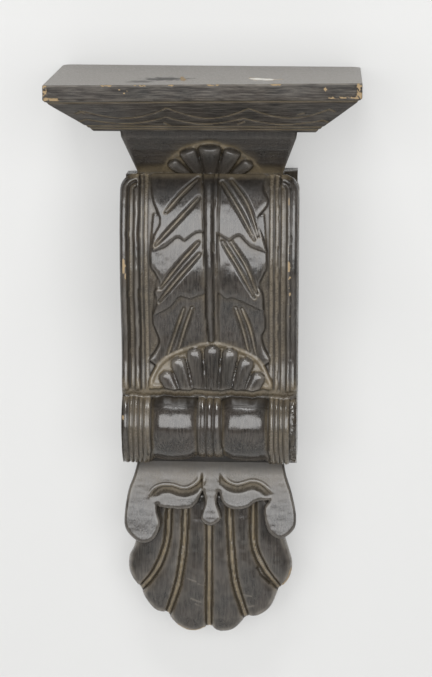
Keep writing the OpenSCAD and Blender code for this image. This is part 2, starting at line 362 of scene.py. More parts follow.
class NodeTree:
    """A small helper that builds one geometry node tree."""

    def __init__(self, name: str, sizes: dict[str, tuple[str, object]]) -> None:
        """Start the tree.

        Args:
            name: Name of the tree.
            sizes: For each named input, its socket type and its value.
        """
        self.tree = bpy.data.node_groups.new(name, "GeometryNodeTree")
        self.sizes = {key: value for key, (_, value) in sizes.items()}
        for key, (kind, _) in sizes.items():
            self.tree.interface.new_socket(key, in_out="INPUT", socket_type=kind)
        self.tree.interface.new_socket("Geometry", in_out="OUTPUT", socket_type="NodeSocketGeometry")
        self.inputs = self.tree.nodes.new("NodeGroupInput")

    def add(self, kind: str, settings: dict[str, object] | None = None,
            **links: object) -> bpy.types.Node:
        """Add a node with its settings and links.

        Args:
            kind: The node's type.
            settings: Properties of the node.
            links: For each input, named with _ for a space or by i and its number, a value
                or the socket that feeds it.

        Returns:
            The node.
        """
        made = self.tree.nodes.new(kind)
        for key, value in (settings or {}).items():
            setattr(made, key, value)
        for key, value in links.items():
            socket = made.inputs[int(key[1:])] if key[0] == "i" and key[1:].isdigit() else \
                made.inputs[key.replace("_", " ")]
            if isinstance(value, bpy.types.NodeSocket):
                self.tree.links.new(value, socket)
            else:
                socket.default_value = value
        return made

    def size(self, name: str) -> bpy.types.NodeSocket:
        """The socket that gives one of the tree's named sizes."""
        return self.inputs.outputs[name]

    def solid(self, geometry: bpy.types.NodeSocket, name: str) -> bpy.types.Mesh:
        """End the tree and take its result as a plain mesh.

        Args:
            geometry: The socket that gives the finished shape.
            name: Name of the mesh.

        Returns:
            The mesh, with nothing live left on it.
        """
        real = self.add("GeometryNodeRealizeInstances", i0=geometry)
        dressed = self.add("GeometryNodeSetMaterial", i0=real.outputs[0])
        out = self.add("NodeGroupOutput")
        self.tree.links.new(dressed.outputs[0], out.inputs[0])
        holder = bpy.data.objects.new(name, bpy.data.meshes.new(name))
        bpy.context.scene.collection.objects.link(holder)
        live = holder.modifiers.new(name, "NODES")
        live.node_group = self.tree
        for item in self.tree.interface.items_tree:
            if item.item_type == "SOCKET" and item.in_out == "INPUT":
                live[item.identifier] = self.sizes[item.name]
        ready = holder.evaluated_get(bpy.context.evaluated_depsgraph_get())
        copy = bpy.data.objects.new(name, bpy.data.meshes.new_from_object(ready))
        made = copy.data
        bpy.data.objects.remove(copy)
        bpy.data.objects.remove(holder)
        return made


@dataclass
class PetalFan:
    """Round petals that spread from one root, each with a blunt tip and a slim foot."""

    root: tuple[float, float, float]
    petals: int
    spread: float
    length: float
    foot_r: float
    tip_r: float
    start: float
    lean: float
    shrink: float = 0.25
    arch: float = 0.1

    def mesh(self, name: str) -> bpy.types.Mesh:
        """Make the fan with geometry nodes.

        Args:
            name: Name of the tree and of its mesh.

        Returns:
            The petals, in millimetres, as one mesh.
        """
        number, whole = "NodeSocketFloat", "NodeSocketInt"
        net = NodeTree(name, {
            "Petals": (whole, self.petals), "Spread": (number, math.radians(self.spread)),
            "Length": (number, self.length), "Foot radius": (number, self.foot_r),
            "Tip radius": (number, self.tip_r), "Start": (number, self.start),
            "Lean": (number, math.radians(self.lean)), "Shrink": (number, self.shrink),
            "Arch": (number, self.arch),
        })
        spine = net.add("GeometryNodeCurvePrimitiveLine", {"mode": "POINTS"}, Start=(0, 0, 0), End=(0, 0, 1))
        fine = net.add("GeometryNodeResampleCurve", Curve=spine.outputs[0], Count=22)
        place = net.add("GeometryNodeSplineParameter").outputs["Factor"]
        past = net.add("ShaderNodeMath", {"operation": "POWER"}, i0=place, i1=16.0).outputs[0]
        blunt = net.add("ShaderNodeMath", {"operation": "SUBTRACT"}, i0=1.001, i1=past).outputs[0]
        blunt = net.add("ShaderNodeMath", {"operation": "SQRT"}, i0=blunt).outputs[0]
        width = net.add("ShaderNodeMapRange", i0=place, i3=net.size("Foot radius"),
                        i4=net.size("Tip radius")).outputs[0]
        width = net.add("ShaderNodeMath", {"operation": "MULTIPLY"}, i0=width, i1=blunt).outputs[0]
        ring = net.add("GeometryNodeCurvePrimitiveCircle", Resolution=20, Radius=1.0).outputs[0]
        petal = net.add("GeometryNodeCurveToMesh", Curve=fine.outputs[0], Profile_Curve=ring,
                        Fill_Caps=True, Scale=width)
        run = net.add("ShaderNodeMath", {"operation": "SUBTRACT"}, i0=net.size("Length"),
                      i1=net.size("Start")).outputs[0]
        stretch = net.add("ShaderNodeCombineXYZ", X=1.0, Y=0.62, Z=run).outputs[0]
        lift = net.add("ShaderNodeCombineXYZ", Z=net.size("Start")).outputs[0]
        grown = net.add("GeometryNodeTransform", i0=petal.outputs[0], Translation=lift, Scale=stretch)
        spots = net.add("GeometryNodeMeshLine", Count=net.size("Petals"), Offset=(0, 0, 0)).outputs[0]
        place = net.add("GeometryNodeInputIndex").outputs[0]
        last = net.add("ShaderNodeMath", {"operation": "SUBTRACT"}, i0=net.size("Petals"), i1=1.0).outputs[0]
        share = net.add("ShaderNodeMath", {"operation": "DIVIDE"}, i0=place, i1=last).outputs[0]
        side = net.add("ShaderNodeMapRange", i0=share, i3=-1.0, i4=1.0).outputs[0]
        turn = net.add("ShaderNodeMath", {"operation": "MULTIPLY"}, i0=side, i1=net.size("Spread")).outputs[0]
        angles = net.add("ShaderNodeCombineXYZ", Y=turn).outputs[0]
        off = net.add("ShaderNodeMath", {"operation": "ABSOLUTE"}, i0=side).outputs[0]
        less = net.add("ShaderNodeMath", {"operation": "MULTIPLY"}, i0=off, i1=net.size("Shrink")).outputs[0]
        slim = net.add("ShaderNodeMath", {"operation": "SUBTRACT"}, i0=1.0, i1=less).outputs[0]
        drop = net.add("ShaderNodeMath", {"operation": "MULTIPLY"}, i0=off, i1=off).outputs[0]
        drop = net.add("ShaderNodeMath", {"operation": "MULTIPLY"}, i0=drop, i1=net.size("Arch")).outputs[0]
        low = net.add("ShaderNodeMath", {"operation": "SUBTRACT"}, i0=1.0, i1=drop).outputs[0]
        sizes = net.add("ShaderNodeCombineXYZ", X=slim, Y=slim, Z=low).outputs[0]
        leaning = net.add("ShaderNodeCombineXYZ", X=net.size("Lean")).outputs[0]
        fan = net.add("GeometryNodeInstanceOnPoints", Points=spots, Instance=grown.outputs[0],
                      Rotation=angles, Scale=sizes)
        placed = net.add("GeometryNodeTransform", i0=fan.outputs[0], Translation=self.root, Rotation=leaning)
        return net.solid(placed.outputs[0], name)

    def stamp(self, name: str, front: np.ndarray, where: np.ndarray) -> np.ndarray:
        """Press the fan on a grid of front points.

        Args:
            name: Name of the fan's mesh.
            front: Points of the front, as rows and columns of x, y, z; they are moved.
            where: Which points may move.

        Returns:
            How far each point came forward, in millimetres.
        """
        made = self.mesh(name)
        points = [v.co.copy() for v in made.vertices]
        tree = BVHTree.FromPolygons(points, [tuple(f.vertices) for f in made.polygons])
        bpy.data.meshes.remove(made)
        moved = np.zeros(front.shape[:2])
        towards = Vector((0, 1, 0))
        for r, c in np.argwhere(where):
            x, y, z = front[r, c]
            hit = tree.ray_cast(Vector((x, -400.0, z)), towards)[0]
            if hit is not None and hit.y < y:
                moved[r, c] = y - hit.y
                front[r, c, 1] = hit.y
        return moved


# ---------------------------------------------------------------- the carved block


@dataclass
class Neck:
    """The block between the shelf and the scroll, with the upper palmette on its slope."""

    top_z: float
    shoulder_z: float
    top_half: float = 95.0
    foot_half: float = 79.0
    upright: float = 10.0
    top_d: float = 118.0
    foot_d: float = 87.0
    sink: float = 12.0
    pitch: float = 1.2

    def half_at(self, z: np.ndarray) -> np.ndarray:
        """Half width of the neck at each height."""
        return np.interp(z, [self.shoulder_z, self.top_z - self.upright, self.top_z],
                         [self.foot_half, self.top_half - 1.5, self.top_half])

    def depth_at(self, z: np.ndarray) -> np.ndarray:
        """Depth of the neck's face at each height."""
        return np.interp(z, [self.shoulder_z, self.shoulder_z + 4, self.top_z - self.upright, self.top_z],
                         [self.foot_d, self.foot_d + 2.0, self.top_d - 2.0, self.top_d])

    def solid(self) -> Solid:
        """Carve the neck.

        Returns:
            The neck as a closed solid that runs a little way into the scroll.
        """
        rows = int((self.top_z - self.shoulder_z + self.sink) / self.pitch)
        cols = int(2 * self.top_half / self.pitch)
        z = np.linspace(self.top_z, self.shoulder_z - self.sink, rows)[:, None]
        x = np.linspace(-1, 1, cols)[None, :] * self.half_at(z)
        z = z + 0 * x
        depth = self.depth_at(z) + 0.5 * wander(x, 90, 5) + 0.25 * wander(z, 17, 6)
        edge = self.half_at(z) - np.abs(x)
        depth -= 1.6 * (1 - smooth(0, 3, edge))
        rim = joined([(-50, self.shoulder_z - 4), (-46, 180), (-33, 194), (0, 206.5),
                      (33, 194), (50, 180), (54, self.shoulder_z - 4)])
        plate = inside(x, z, rim)
        depth += 1.3 * smooth(-1.4, 0.6, plate)
        front = np.stack([x, -depth, z], axis=2)
        fan = PetalFan(root=(1, -self.foot_d + 12.5, self.shoulder_z - 25), petals=5, spread=43,
                       length=70, foot_r=7.4, tip_r=13.6, start=30, lean=34, shrink=0.46, arch=0.1)
        moved = fan.stamp("upper_palmette", front, (plate > -4) & (z > self.shoulder_z - 5))
        seam = np.clip(moved * 0.6, 0, 1)
        dust = cavity(-front[..., 1], ((2.0, 1.8), (5.0, 5.0)))
        dust += 0.45 * smooth(self.shoulder_z + 12, self.shoulder_z + 1, z)
        dust = np.clip(dust * (1 - 0.9 * seam) + 0.35 * (1 - seam) * smooth(-5, 0, plate), 0, 1)
        dust *= 0.55 + 0.45 * mottle(x, z, 9, 21)
        wear_and_sheen = proud(-front[..., 1], 2.2, 2.0) * 0.8
        # Painted shade: the narrow cuts are darkened, and the whole neck at least by 0.45, as it faces down under the
        # shelf.
        deep = np.maximum(cavity(-front[..., 1], ((1.3, 1.0),)), 0.45)
        marks = np.stack([dust, wear_and_sheen, 0 * wear_and_sheen, deep], axis=2)
        return close_sheet(front, marks, np.ones((rows - 1, cols - 1), bool), 6)


@dataclass
class Scroll:
    """The S-shaped body with its edge bands, leaf panel, lower palmette and roll."""

    top_z: float
    half: float = 96.0
    shoulder_r: float = 18.0
    top_d: float = 91.0
    swell_d: float = 118.0
    swell_s: float = 98.0
    waist_d: float = 104.0
    waist_s: float = 204.0
    lip_s: float = 236.0
    lip_d: float = 107.5
    roll_y: float = 80.0
    roll_s: float = 280.0
    reed_r: float = 40.0
    barrel_r: float = 44.0
    barrel_end_r: float = 37.5
    centre_band: tuple[float, float] = (-10.5, 12.8)
    barrel_out: float = 64.5
    chin_d: float = 72.0
    foot_s: float = 329.0
    pitch: float = 1.22
    side_steps: int = 26
    hole_x: float = 50.0
    hole_z: float = 120.0
    hole_r: float = 5.0
    hole_depth: float = 25.0
    rib_top: tuple[float, float] = (-0.5, 168.0)
    rib_foot: tuple[float, float] = (2.3, -14.0)

    VEINS = (
        ((-12, 167), (-30, 150), (-47, 131)), ((-11, 147), (-34, 122), (-58, 96)),
        ((14, 163), (33, 134), (50, 103)), ((24, 165), (42, 140), (54, 106)),
        ((-11, 100), (-32, 76), (-53, 49)), ((-10, 87), (-33, 61), (-55, 34)),
        ((15, 101), (33, 72), (50, 40)), ((24, 101), (41, 74), (53, 44)),
        ((-27, 27), (-37, -2), (-47, -33)), ((-18, 28), (-27, 2), (-36, -30)),
        ((29, 28), (37, 4), (45, -30)), ((36, 27), (45, 4), (52, -30)),
    )

    @property
    def roll_z(self) -> float:
        """Height of the roll's axis."""
        return self.top_z - self.roll_s

    def ground_d(self, s: np.ndarray) -> np.ndarray:
        """Depth of the plain ground at a distance s below the shoulders.

        Args:
            s: Distances below the shoulders.

        Returns:
            The depths.
        """
        up = self.swell_d - 22.0 * (1 - np.clip(s / self.swell_s, 0, 1)) ** 2.7
        waist = smooth(self.swell_s, self.waist_s, s)
        down = self.swell_d + (self.waist_d - self.swell_d) * waist
        lip = smooth(self.waist_s, self.lip_s, s)
        return np.where(s < self.swell_s, up, down + (self.lip_d - self.waist_d) * lip)

    def profile(self) -> tuple[np.ndarray, np.ndarray]:
        """The front line of the body, seen from its side.

        Returns:
            Points of y and z at an even pitch, and the angle round the roll's axis of each,
            in degrees above the horizontal, or 999 where the point isn't on the roll.
        """
        s = np.linspace(0, self.lip_s, 240)
        line = [np.stack([-self.ground_d(s), self.top_z - s], axis=1)]
        valley = self.roll_z + 34.0
        line.append(np.array([(-self.lip_d + 1.6, valley + 5.0), (-self.lip_d + 4.0, valley + 1.5)]))
        from_a = math.degrees(math.asin(32.4 / self.reed_r))
        turn = np.radians(np.linspace(from_a, -104.0, 120))
        line.append(np.stack([-self.roll_y - self.reed_r * np.cos(turn),
                              self.roll_z + self.reed_r * np.sin(turn)], axis=1))
        foot = self.top_z - self.foot_s
        line.append(np.array([(-self.chin_d - 0.5, foot + 9.0), (-self.chin_d, foot)]))
        line = np.vstack(line)
        spans = np.r_[0, np.cumsum(np.linalg.norm(np.diff(line, axis=0), axis=1))]
        even = np.linspace(0, spans[-1], int(spans[-1] / self.pitch))
        y, z = np.interp(even, spans, line[:, 0]), np.interp(even, spans, line[:, 1])
        around = np.degrees(np.arctan2(z - self.roll_z, -y - self.roll_y))
        reach = np.hypot(z - self.roll_z, -y - self.roll_y)
        on_roll = (np.abs(reach - self.reed_r) < 0.6) & (z < valley)
        return np.stack([y, z], axis=1), np.where(on_roll, around, 999.0)

    def bands(self, x: np.ndarray, z: np.ndarray, edge: np.ndarray) -> np.ndarray:
        """Height of the bands that run down both edges.

        Args:
            x: Distance from the centre line.
            z: Height of each point.
            edge: Distance in from the body's outline.

        Returns:
            The heights above the ground.
        """
        h = np.zeros(x.shape)
        left_side, right_side = (80.7, 75.2, 84.2), (88.4, 84.4, 79.6)
        for side, (bead_out, bead_in, fillet) in ((-1, left_side), (1, right_side)):
            b = np.maximum(np.abs(x), self.half - edge) + 0.5 * wander(z, 70, 31 + side)
            fill = 1.2 * smooth(64.6, 66.2, b)
            fill -= 1.4 * dome((b - 70.6) / 1.4)
            bead = 4.0 * dome((b - (bead_out + bead_in) / 2) / ((bead_out - bead_in) / 2 + 0.5))
            slim = 1.6 * dome((b - fillet) / 2.1)
            inner, outer = min(bead_in, fillet - 2.6) - 0.4, max(bead_out, fillet + 2.2) + 0.9
            gap = 2.4 * dome((b - inner) / 1.5) + 2.4 * dome((b - outer) / 1.6)
            strip = smooth(88.0, 89.6, b) * (2.0 + 1.6 * dome((b - 91) / 5.5))
            part = np.maximum(np.maximum(fill, np.maximum(bead, slim)) - gap * (strip < 0.3), strip)
            h = np.where(np.sign(x) == side, part, h)
        return h

    def leaf(self, x: np.ndarray, z: np.ndarray) -> np.ndarray:
        """Height of the three tiers of leaves, with their veins.

        Args:
            x: Distance from the centre line.
            z: Height of each point.

        Returns:
            The heights above the ground.
        """
        tiers = (
            ((0, 20), [(0, 44), (-8, 43), (-20, 38)], [(-20, 38), (-32, 40.5), (-42, 29), (-61, 18)],
             [(-61, 18), (-56, 34), (-58, 46), (-52, 54), (-57, 66), (-63, 80), (-60, 130)],
             [(60, 130), (63, 80), (59, 66), (54, 53), (58, 44), (59, 25)],
             [(59, 25), (42, 33), (27, 39.5), (19, 38.5)], [(19, 38.5), (9, 46), (0, 44)]),
            ((0, -50), [(0, -60), (-30, -60), (-66, -33)],
             [(-66, -33), (-58, -22), (-54, -11), (-58, 2), (-61, 15), (-56, 60)],
             [(56, 60), (61, 10), (57, -4), (60, -18), (68, -32)], [(68, -32), (30, -60), (0, -60)]),
            ((0, 90), [(0, 109), (-12, 111), (-26, 101.5)], [(-26, 101.5), (-34, 105.5), (-46, 96), (-60, 90.5)],
             [(-60, 90.5), (-59, 106), (-52.5, 123), (-60, 144), (-62, 158), (-62, 176)],
             [(62, 176), (58, 158), (63.5, 142), (52.5, 125), (58, 108), (63, 90)],
             [(63, 90), (45, 97), (33, 108), (22.5, 102)], [(22.5, 102), (10, 109), (0, 109)]),
        )
        h = np.zeros(x.shape)
        starts = {0: (120.0, 16.0), 1: (50.0, -34.0), 2: (190.0, 86.0)}
        for k in (1, 0, 2):
            _, *runs = tiers[k]
            near = inside(x, z, joined(*runs))
            high, low = starts[k]
            lift = 1.3 + 2.5 * smooth(high, low, z)
            own = lift * smooth(-0.8, 0.9, near) + 0.5 * smooth(0, 5, near)
            h = np.where(near > -0.8, np.maximum(own, np.where(near > 0.9, 0, h)), h)
        for line in self.VEINS:
            h -= vein(x, z, soft_line(line, 5), 4.4, 2.2)
        return h

    def midrib(self, x: np.ndarray, z: np.ndarray, h: np.ndarray) -> np.ndarray:
        """Lay the stem down the middle of the leaves.

        Args:
            x: Distance from the centre line.
            z: Height of each point.
            h: Heights before the stem.

        Returns:
            Heights with the stem.
        """
        t = np.clip((self.rib_top[1] - z) / (self.rib_top[1] - self.rib_foot[1]), 0, 1)
        v = x - (self.rib_top[0] + (self.rib_foot[0] - self.rib_top[0]) * t) + 0.5 * wander(z, 80, 41)
        wide = 5.6 - 2.6 * t
        live = smooth(self.rib_foot[1] - 6, self.rib_foot[1] + 6, z)
        stem = (3.0 + 4.2 * dome(v / wide)) * (np.abs(v) < wide)
        lip = (2.6 + 1.6 * dome((v - wide - 2.6) / 1.9)) * (np.abs(v - wide - 2.6) < 1.9) * (1 - 0.5 * t)
        cut = 1.5 * dome((np.abs(v) - wide - 0.4) / 1.5)
        cut += 1.1 * dome((v - wide - 5.2) / 1.2)
        return np.maximum(h - cut * live, np.maximum(stem, lip) * live)

    def reeds(self, x: np.ndarray, turn: np.ndarray) -> tuple[np.ndarray, np.ndarray]:
        """Radius of the roll along its axis.

        Args:
            x: Distance from the centre line.
            turn: Angle round the axis, in degrees above the horizontal.

        Returns:
            The radii, and 1 where a barrel is.
        """
        low, high = self.centre_band
        splay = smooth(-25, -95, turn)
        v = np.where(np.abs(x) > 30, x - np.sign(x) * 4.0 * splay * smooth(90, 70, np.abs(x)), x * (1 - 0.16 * splay))
        lines = [-95.4, -88.0, -83.2, -77.1, -72.2, -66.7, low, -3.2, 4.6, high, 66.2, 71.6, 76.6, 81.6, 87.2]
        r = np.full(x.shape, self.reed_r) + 1.2
        for a, b in zip(lines[:-1], lines[1:]):
            if a == -66.7 or a == high:
                continue
            u = (v - (a + b) / 2) / ((b - a) / 2)
            r = np.where(np.abs(u) <= 1, self.reed_r + 3.2 * (dome(u * 0.97) - 0.45), r)
        barrel = np.zeros(x.shape)
        for a, b in ((-self.barrel_out, low - 0.6), (high + 0.6, self.barrel_out + 1.2)):
            u = (v - (a + b) / 2) / ((b - a) / 2)
            swell = self.barrel_end_r + (self.barrel_r - self.barrel_end_r) * np.clip(1 - np.abs(u) ** 3.4, 0, 1)
            r, barrel = np.where(np.abs(u) < 1, swell, r), np.where(np.abs(u) < 1, 1.0, barrel)
        punched = v > 87.4
        r = np.where(punched, self.reed_r - 1.0, r)
        return r, barrel

    def front(self) -> tuple[np.ndarray, np.ndarray]:
        """Carve the front.

        Returns:
            Its points, as rows and columns of x, y, z, and the marks of age on them.
        """
        line, around = self.profile()
        rows, cols = len(line), int(2 * self.half / self.pitch)
        base_y, base_z = line[:, :1], line[:, 1:]
        s = self.top_z - base_z
        half = np.where(s < self.shoulder_r,
                        self.half - self.shoulder_r + np.sqrt(np.clip(
                            self.shoulder_r**2 - (self.shoulder_r - s) ** 2, 0, None)), self.half)
        x = np.linspace(-1, 1, cols)[None, :] * half
        z, y = base_z + 0 * x, base_y + 0 * x
        corner_x, corner_s = self.half - self.shoulder_r, self.shoulder_r
        on_arc = (np.abs(x) > corner_x) & (s < corner_s)
        edge = np.where(on_arc, self.shoulder_r - np.hypot(np.abs(x) - corner_x, corner_s - s), self.half - np.abs(x))
        turn = around[:, None] + 0 * x
        rolled = turn < 900

        h = self.bands(x, z, edge)
        leaf = self.leaf(x, z)
        h = np.where(np.abs(x) < 65.5, leaf, h)
        h = self.midrib(x, z, h)
        rim = joined([(-66, -64), (-63, -49), (-45, -27), (3, -11.5), (50, -27), (67, -53), (69, -64)])
        plate = inside(x, z, rim)
        arch = smooth(-1.2, 0.8, plate)
        h = h * (1 - arch) + arch * (2.2 + 1.9 * dome((plate - 2.0) / 2.8) * smooth(-66, -58, z))
        lip_z = self.top_z - self.lip_s
        ends = smooth(lip_z + 0.5, lip_z - 3.5, z)
        h = h * (1 - ends) + 1.2 * ends * (~rolled)
        h += 0.6 * (mottle(x, z, 16, 51) - 0.5) + 0.18 * (mottle(x, z, 5, 52) - 0.5)

        radius, barrel = self.reeds(x, turn)
        sink = 4.0 * smooth(self.roll_z - 34, self.roll_z - 42, z) * (1 - barrel)
        out = np.where(rolled, radius - self.reed_r - sink, 0.0)
        rings = 0.5 * dome((turn - 36) / 1.6) + 0.45 * dome((turn - 52) / 1.6)
        out -= np.where(rolled, rings * barrel, 0.0)
        stipple = (mottle(x, z, 1.9, 61) - 0.5) * 1.5 * (x > 88) * rolled
        out += stipple + np.where(rolled, 0.3 * (mottle(x, z, 7, 62) - 0.5), 0.0)
        fade = smooth(-104, -90, turn)
        out = np.where(rolled, out * fade, out)

        ny, nz = self.normals(line)
        lift = np.where(rolled, out, h)
        front = np.stack([x, y + lift * ny, z + lift * nz], axis=2)
        foot = self.top_z - self.foot_s
        chin = np.clip((self.roll_z - 38 - z) / (self.roll_z - 38 - foot), 0, 1) * (~rolled)
        hang = np.where(rolled, smooth(-20, -85, turn), (z < self.roll_z - 34) * (1 - chin))
        front[..., 2] -= 9.0 * hang * smooth(60, 68, np.abs(x))
        front[..., 2] += 1.3 * wander(x, 37, 63) * smooth(lip_z + 16, lip_z + 2, z) * smooth(-88, -78, z)
        soften = 2.2 * (1 - smooth(0, 3.2, edge)) * (s < 300)
        front[..., 1] += soften
        fan = PetalFan(root=(3.5, -self.lip_d - 2.0, -158), petals=7, spread=25, length=144,
                       foot_r=7.2, tip_r=9.8, start=88, lean=0.5, shrink=0.08, arch=0.13)
        moved = fan.stamp("lower_palmette", front, (plate > -6) & (z > lip_z + 0.5))
        marks = self.age(x, z, lift + moved, moved, rolled, barrel, plate, turn, edge)
        return front, marks

    @staticmethod
    def normals(line: np.ndarray) -> tuple[np.ndarray, np.ndarray]:
        """Directions square to the profile, out of the wood, as columns of y and z parts."""
        t = np.gradient(line, axis=0)
        t = np.stack([np.convolve(np.pad(t[:, k], 3, "edge"), np.ones(7) / 7, "valid") for k in (0, 1)], axis=1)
        up = np.degrees(np.arctan2(-t[:, 0], -t[:, 1]))
        rows = np.arange(len(line))
        up = np.radians(np.where(rows < len(line) // 3, np.clip(up, -40, 30), up))
        return -np.cos(up)[:, None], np.sin(up)[:, None] * smooth(0, 14, rows)[:, None]

    def age(self, x: np.ndarray, z: np.ndarray, lift: np.ndarray, moved: np.ndarray, rolled: np.ndarray,
            barrel: np.ndarray, plate: np.ndarray, turn: np.ndarray, edge: np.ndarray) -> np.ndarray:
        """Lay dust in the hollows and wear on the high places, and paint shade in the narrow cuts, a shadow under the
        shelf, and shade on the barrels and under the roll.

        Args:
            x: Distance from the centre line.
            z: Height of each point.
            lift: Height of the carving above its ground.
            moved: How far the palmette stands out.
            rolled: Which points are on the roll.
            barrel: 1 where a barrel is.
            plate: Distance inside the palmette's rim.
            turn: Angle round the roll's axis.
            edge: Distance in from the outline; not used.

        Returns:
            The marks of dust, wear, bare wood and painted shade.
        """
        wide = np.abs(x)
        # Painted shade: the narrowest cuts are darkened, as shade falls in them.
        deep = cavity(lift, ((1.3, 0.8),))
        dust = cavity(lift, ((4.0, 3.2),)) * (1 - 0.6 * deep)
        petal = np.clip(moved * 0.7, 0, 1)
        bands = smooth(64.5, 66, wide) * smooth(89.5, 87, wide)
        dust = np.maximum(dust, 0.42 * bands * smooth(2.6, 1.0, lift) * smooth(-0.6, 0.6, lift))
        rim = smooth(-2, 0, plate) * (1 - petal)
        dust = np.maximum(dust, 0.7 * rim)
        dust = np.maximum(dust, 0.5 * smooth(-48, -60, z) * smooth(-76, -68, z) * (1 - 0.8 * petal))
        for line in self.VEINS:
            away, _ = along(x, z, soft_line(line, 5))
            dust = np.maximum(dust, 0.5 * smooth(3.4, 2.0, away) * (0.4 + 0.6 * mottle(x, z, 11, 76)) * (plate < -2))
        low_reeds = rolled * (1 - barrel) * smooth(-10, -60, turn)
        dust = np.maximum(dust, 0.25 * low_reeds)
        dust = np.maximum(dust, 0.5 * rolled * smooth(34, 52, turn) * (1 - 0.6 * barrel))
        top = smooth(self.top_z - 8, self.top_z - 1, z)
        dust = np.maximum(dust, 0.8 * top)
        dust *= 1 - 0.9 * petal
        dust *= 0.5 + 0.6 * mottle(x, z, 8, 71) * (0.6 + 0.4 * mottle(x, z, 2.4, 72))
        wear_and_sheen = np.clip(proud(lift, 2.0, 1.2) * (0.1 + 0.8 * mottle(x, z, 12, 73)), 0, 1)
        wear_and_sheen *= 1 - 0.7 * (wide < 9)
        spots = ((-91.5, 73, 1.9, 9), (-90, 64, 1.0, 4), (86.8, 75, 1.5, 7), (87.5, 63, 1.4, 1.6),
                 (88, 44, 1.0, 3.4), (-94, -96, 1.6, 3), (86, 143, 0.9, 4))
        bare = np.zeros(x.shape)
        for cx, cz, rx, rz in spots:
            ragged = 0.7 * (mottle(x, z, 2.2, 74) - 0.5)
            bare = np.maximum(bare, smooth(1.1, 0.7, np.hypot((x - cx) / rx, (z - cz) / rz) + ragged))
        sparkle = smooth(0.78, 0.9, mottle(x, z, 2.0, 75)) * smooth(85, 86, x) * smooth(89.5, 88.5, x)
        bare = np.maximum(bare, sparkle * smooth(120, 100, z) * smooth(-10, 15, z) * 0.8)
        # Painted shade, taken off the petals and the palmette's plate; then a painted shadow on the leaf panel's top
        # under the shelf, and painted shade on the barrels' undersides and tops and under the roll's chin.
        deep = deep * (1 - petal) * (1 - 0.85 * smooth(-2, 1, plate))
        deep = np.maximum(deep, 0.55 * smooth(138, 154, z) * (wide < 65.5))
        deep = np.maximum(deep, 0.8 * rolled * barrel * smooth(-62, -82, turn))
        deep = np.maximum(deep, 0.7 * rolled * barrel * smooth(24, 40, turn))
        deep = np.maximum(deep, 0.8 * smooth(self.roll_z - 40, self.roll_z - 46, z) * ~rolled)
        return np.stack([np.clip(dust, 0, 1), wear_and_sheen, 0.7 * np.clip(bare, 0, 1), deep], axis=2)

    def side(self, y: np.ndarray, z: np.ndarray, line: np.ndarray) -> tuple[np.ndarray, np.ndarray]:
        """Sink the field and cut the volute's ring in a side.

        Args:
            y: Place of each point out from the wall, as a negative number.
            z: Height of each point.
            line: The front line of the body.

        Returns:
            How far in each point goes, and the dust on it.
        """
        away, _ = along(y, z, line[::3])
        axis = np.hypot(-y - self.roll_y, z - self.roll_z)
        field = np.minimum(np.minimum(away - 13, -y - 41), self.top_z - 13 - z)
        field = np.minimum(field, axis - 42)
        sunk = 2.6 * smooth(-0.6, 1.2, field)
        ring = 2.2 * smooth(15.5, 17, axis) * smooth(22.5, 21, axis)
        dust = 0.65 * np.clip(smooth(3.0, 0.4, np.abs(field)) + smooth(1.2, 2.2, ring), 0, 1)
        return np.maximum(sunk, ring), dust + 0.18

    def solid(self) -> Solid:
        """Close the carved front with its two carved sides.

        Returns:
            The scroll as a closed solid.
        """
        front, marks = self.front()
        rows, cols = front.shape[:2]
        line, _ = self.profile()
        n = self.side_steps
        t = np.linspace(0, 1, n + 1)[1:]
        back_z = np.linspace(self.top_z - 14.0, self.top_z - self.foot_s, rows)
        walls, ages = [], []
        for col, out in ((0, -1), (cols - 1, 1)):
            rim = front[:, col]
            y = rim[:, 1, None] * (1 - t)
            z = rim[:, 2, None] * (1 - t) + back_z[:, None] * t
            sunk, dust = self.side(y, z, line)
            keep = smooth(0.0, 0.06, t)[None, :] * (t < 0.999)
            x = rim[:, 0, None] - out * sunk * keep
            walls.append(np.stack([x, y, z], axis=2))
            ages.append(np.stack([dust * mottle(y, z, 9, 81), 0 * y, 0 * y, 0 * y], axis=2))
        flap_l, flap_r = walls[0][:, ::-1], walls[1]
        grid = np.concatenate([flap_l, front, flap_r], axis=1)
        age = np.concatenate([ages[0][:, ::-1], marks, ages[1]], axis=1)
        rows, cols = grid.shape[:2]
        index = np.arange(rows * cols).reshape(rows, cols)
        a, b, c, d = index[:-1, :-1], index[:-1, 1:], index[1:, 1:], index[1:, :-1]
        faces = [tuple(q) for q in np.stack([a, d, c, b], axis=-1).reshape(-1, 4).tolist()]
        high = int(np.argmin(np.abs(back_z - self.hole_z - 2 * self.hole_r)))
        low = int(np.argmin(np.abs(back_z - self.hole_z + 2 * self.hole_r)))
        holes, around = self.holes(index, back_z, high, low)
        faces += around
        faces += [(index[k, 0], index[k, -1], index[k + 1, -1], index[k + 1, 0])
                  for k in range(rows - 1) if not high - 1 <= k <= low]
        faces.append(tuple(index[0].tolist()))
        faces.append(tuple(index[-1, ::-1].tolist()))
        faces = [tuple(int(i) for i in f) for f in faces]
        age = np.vstack([age.reshape(-1, len(MARKS)), np.tile((0.5, 0.0, 0.0, 0.0), (len(holes), 1))])
        return Solid(np.vstack([grid.reshape(-1, 3), holes]), faces, age)

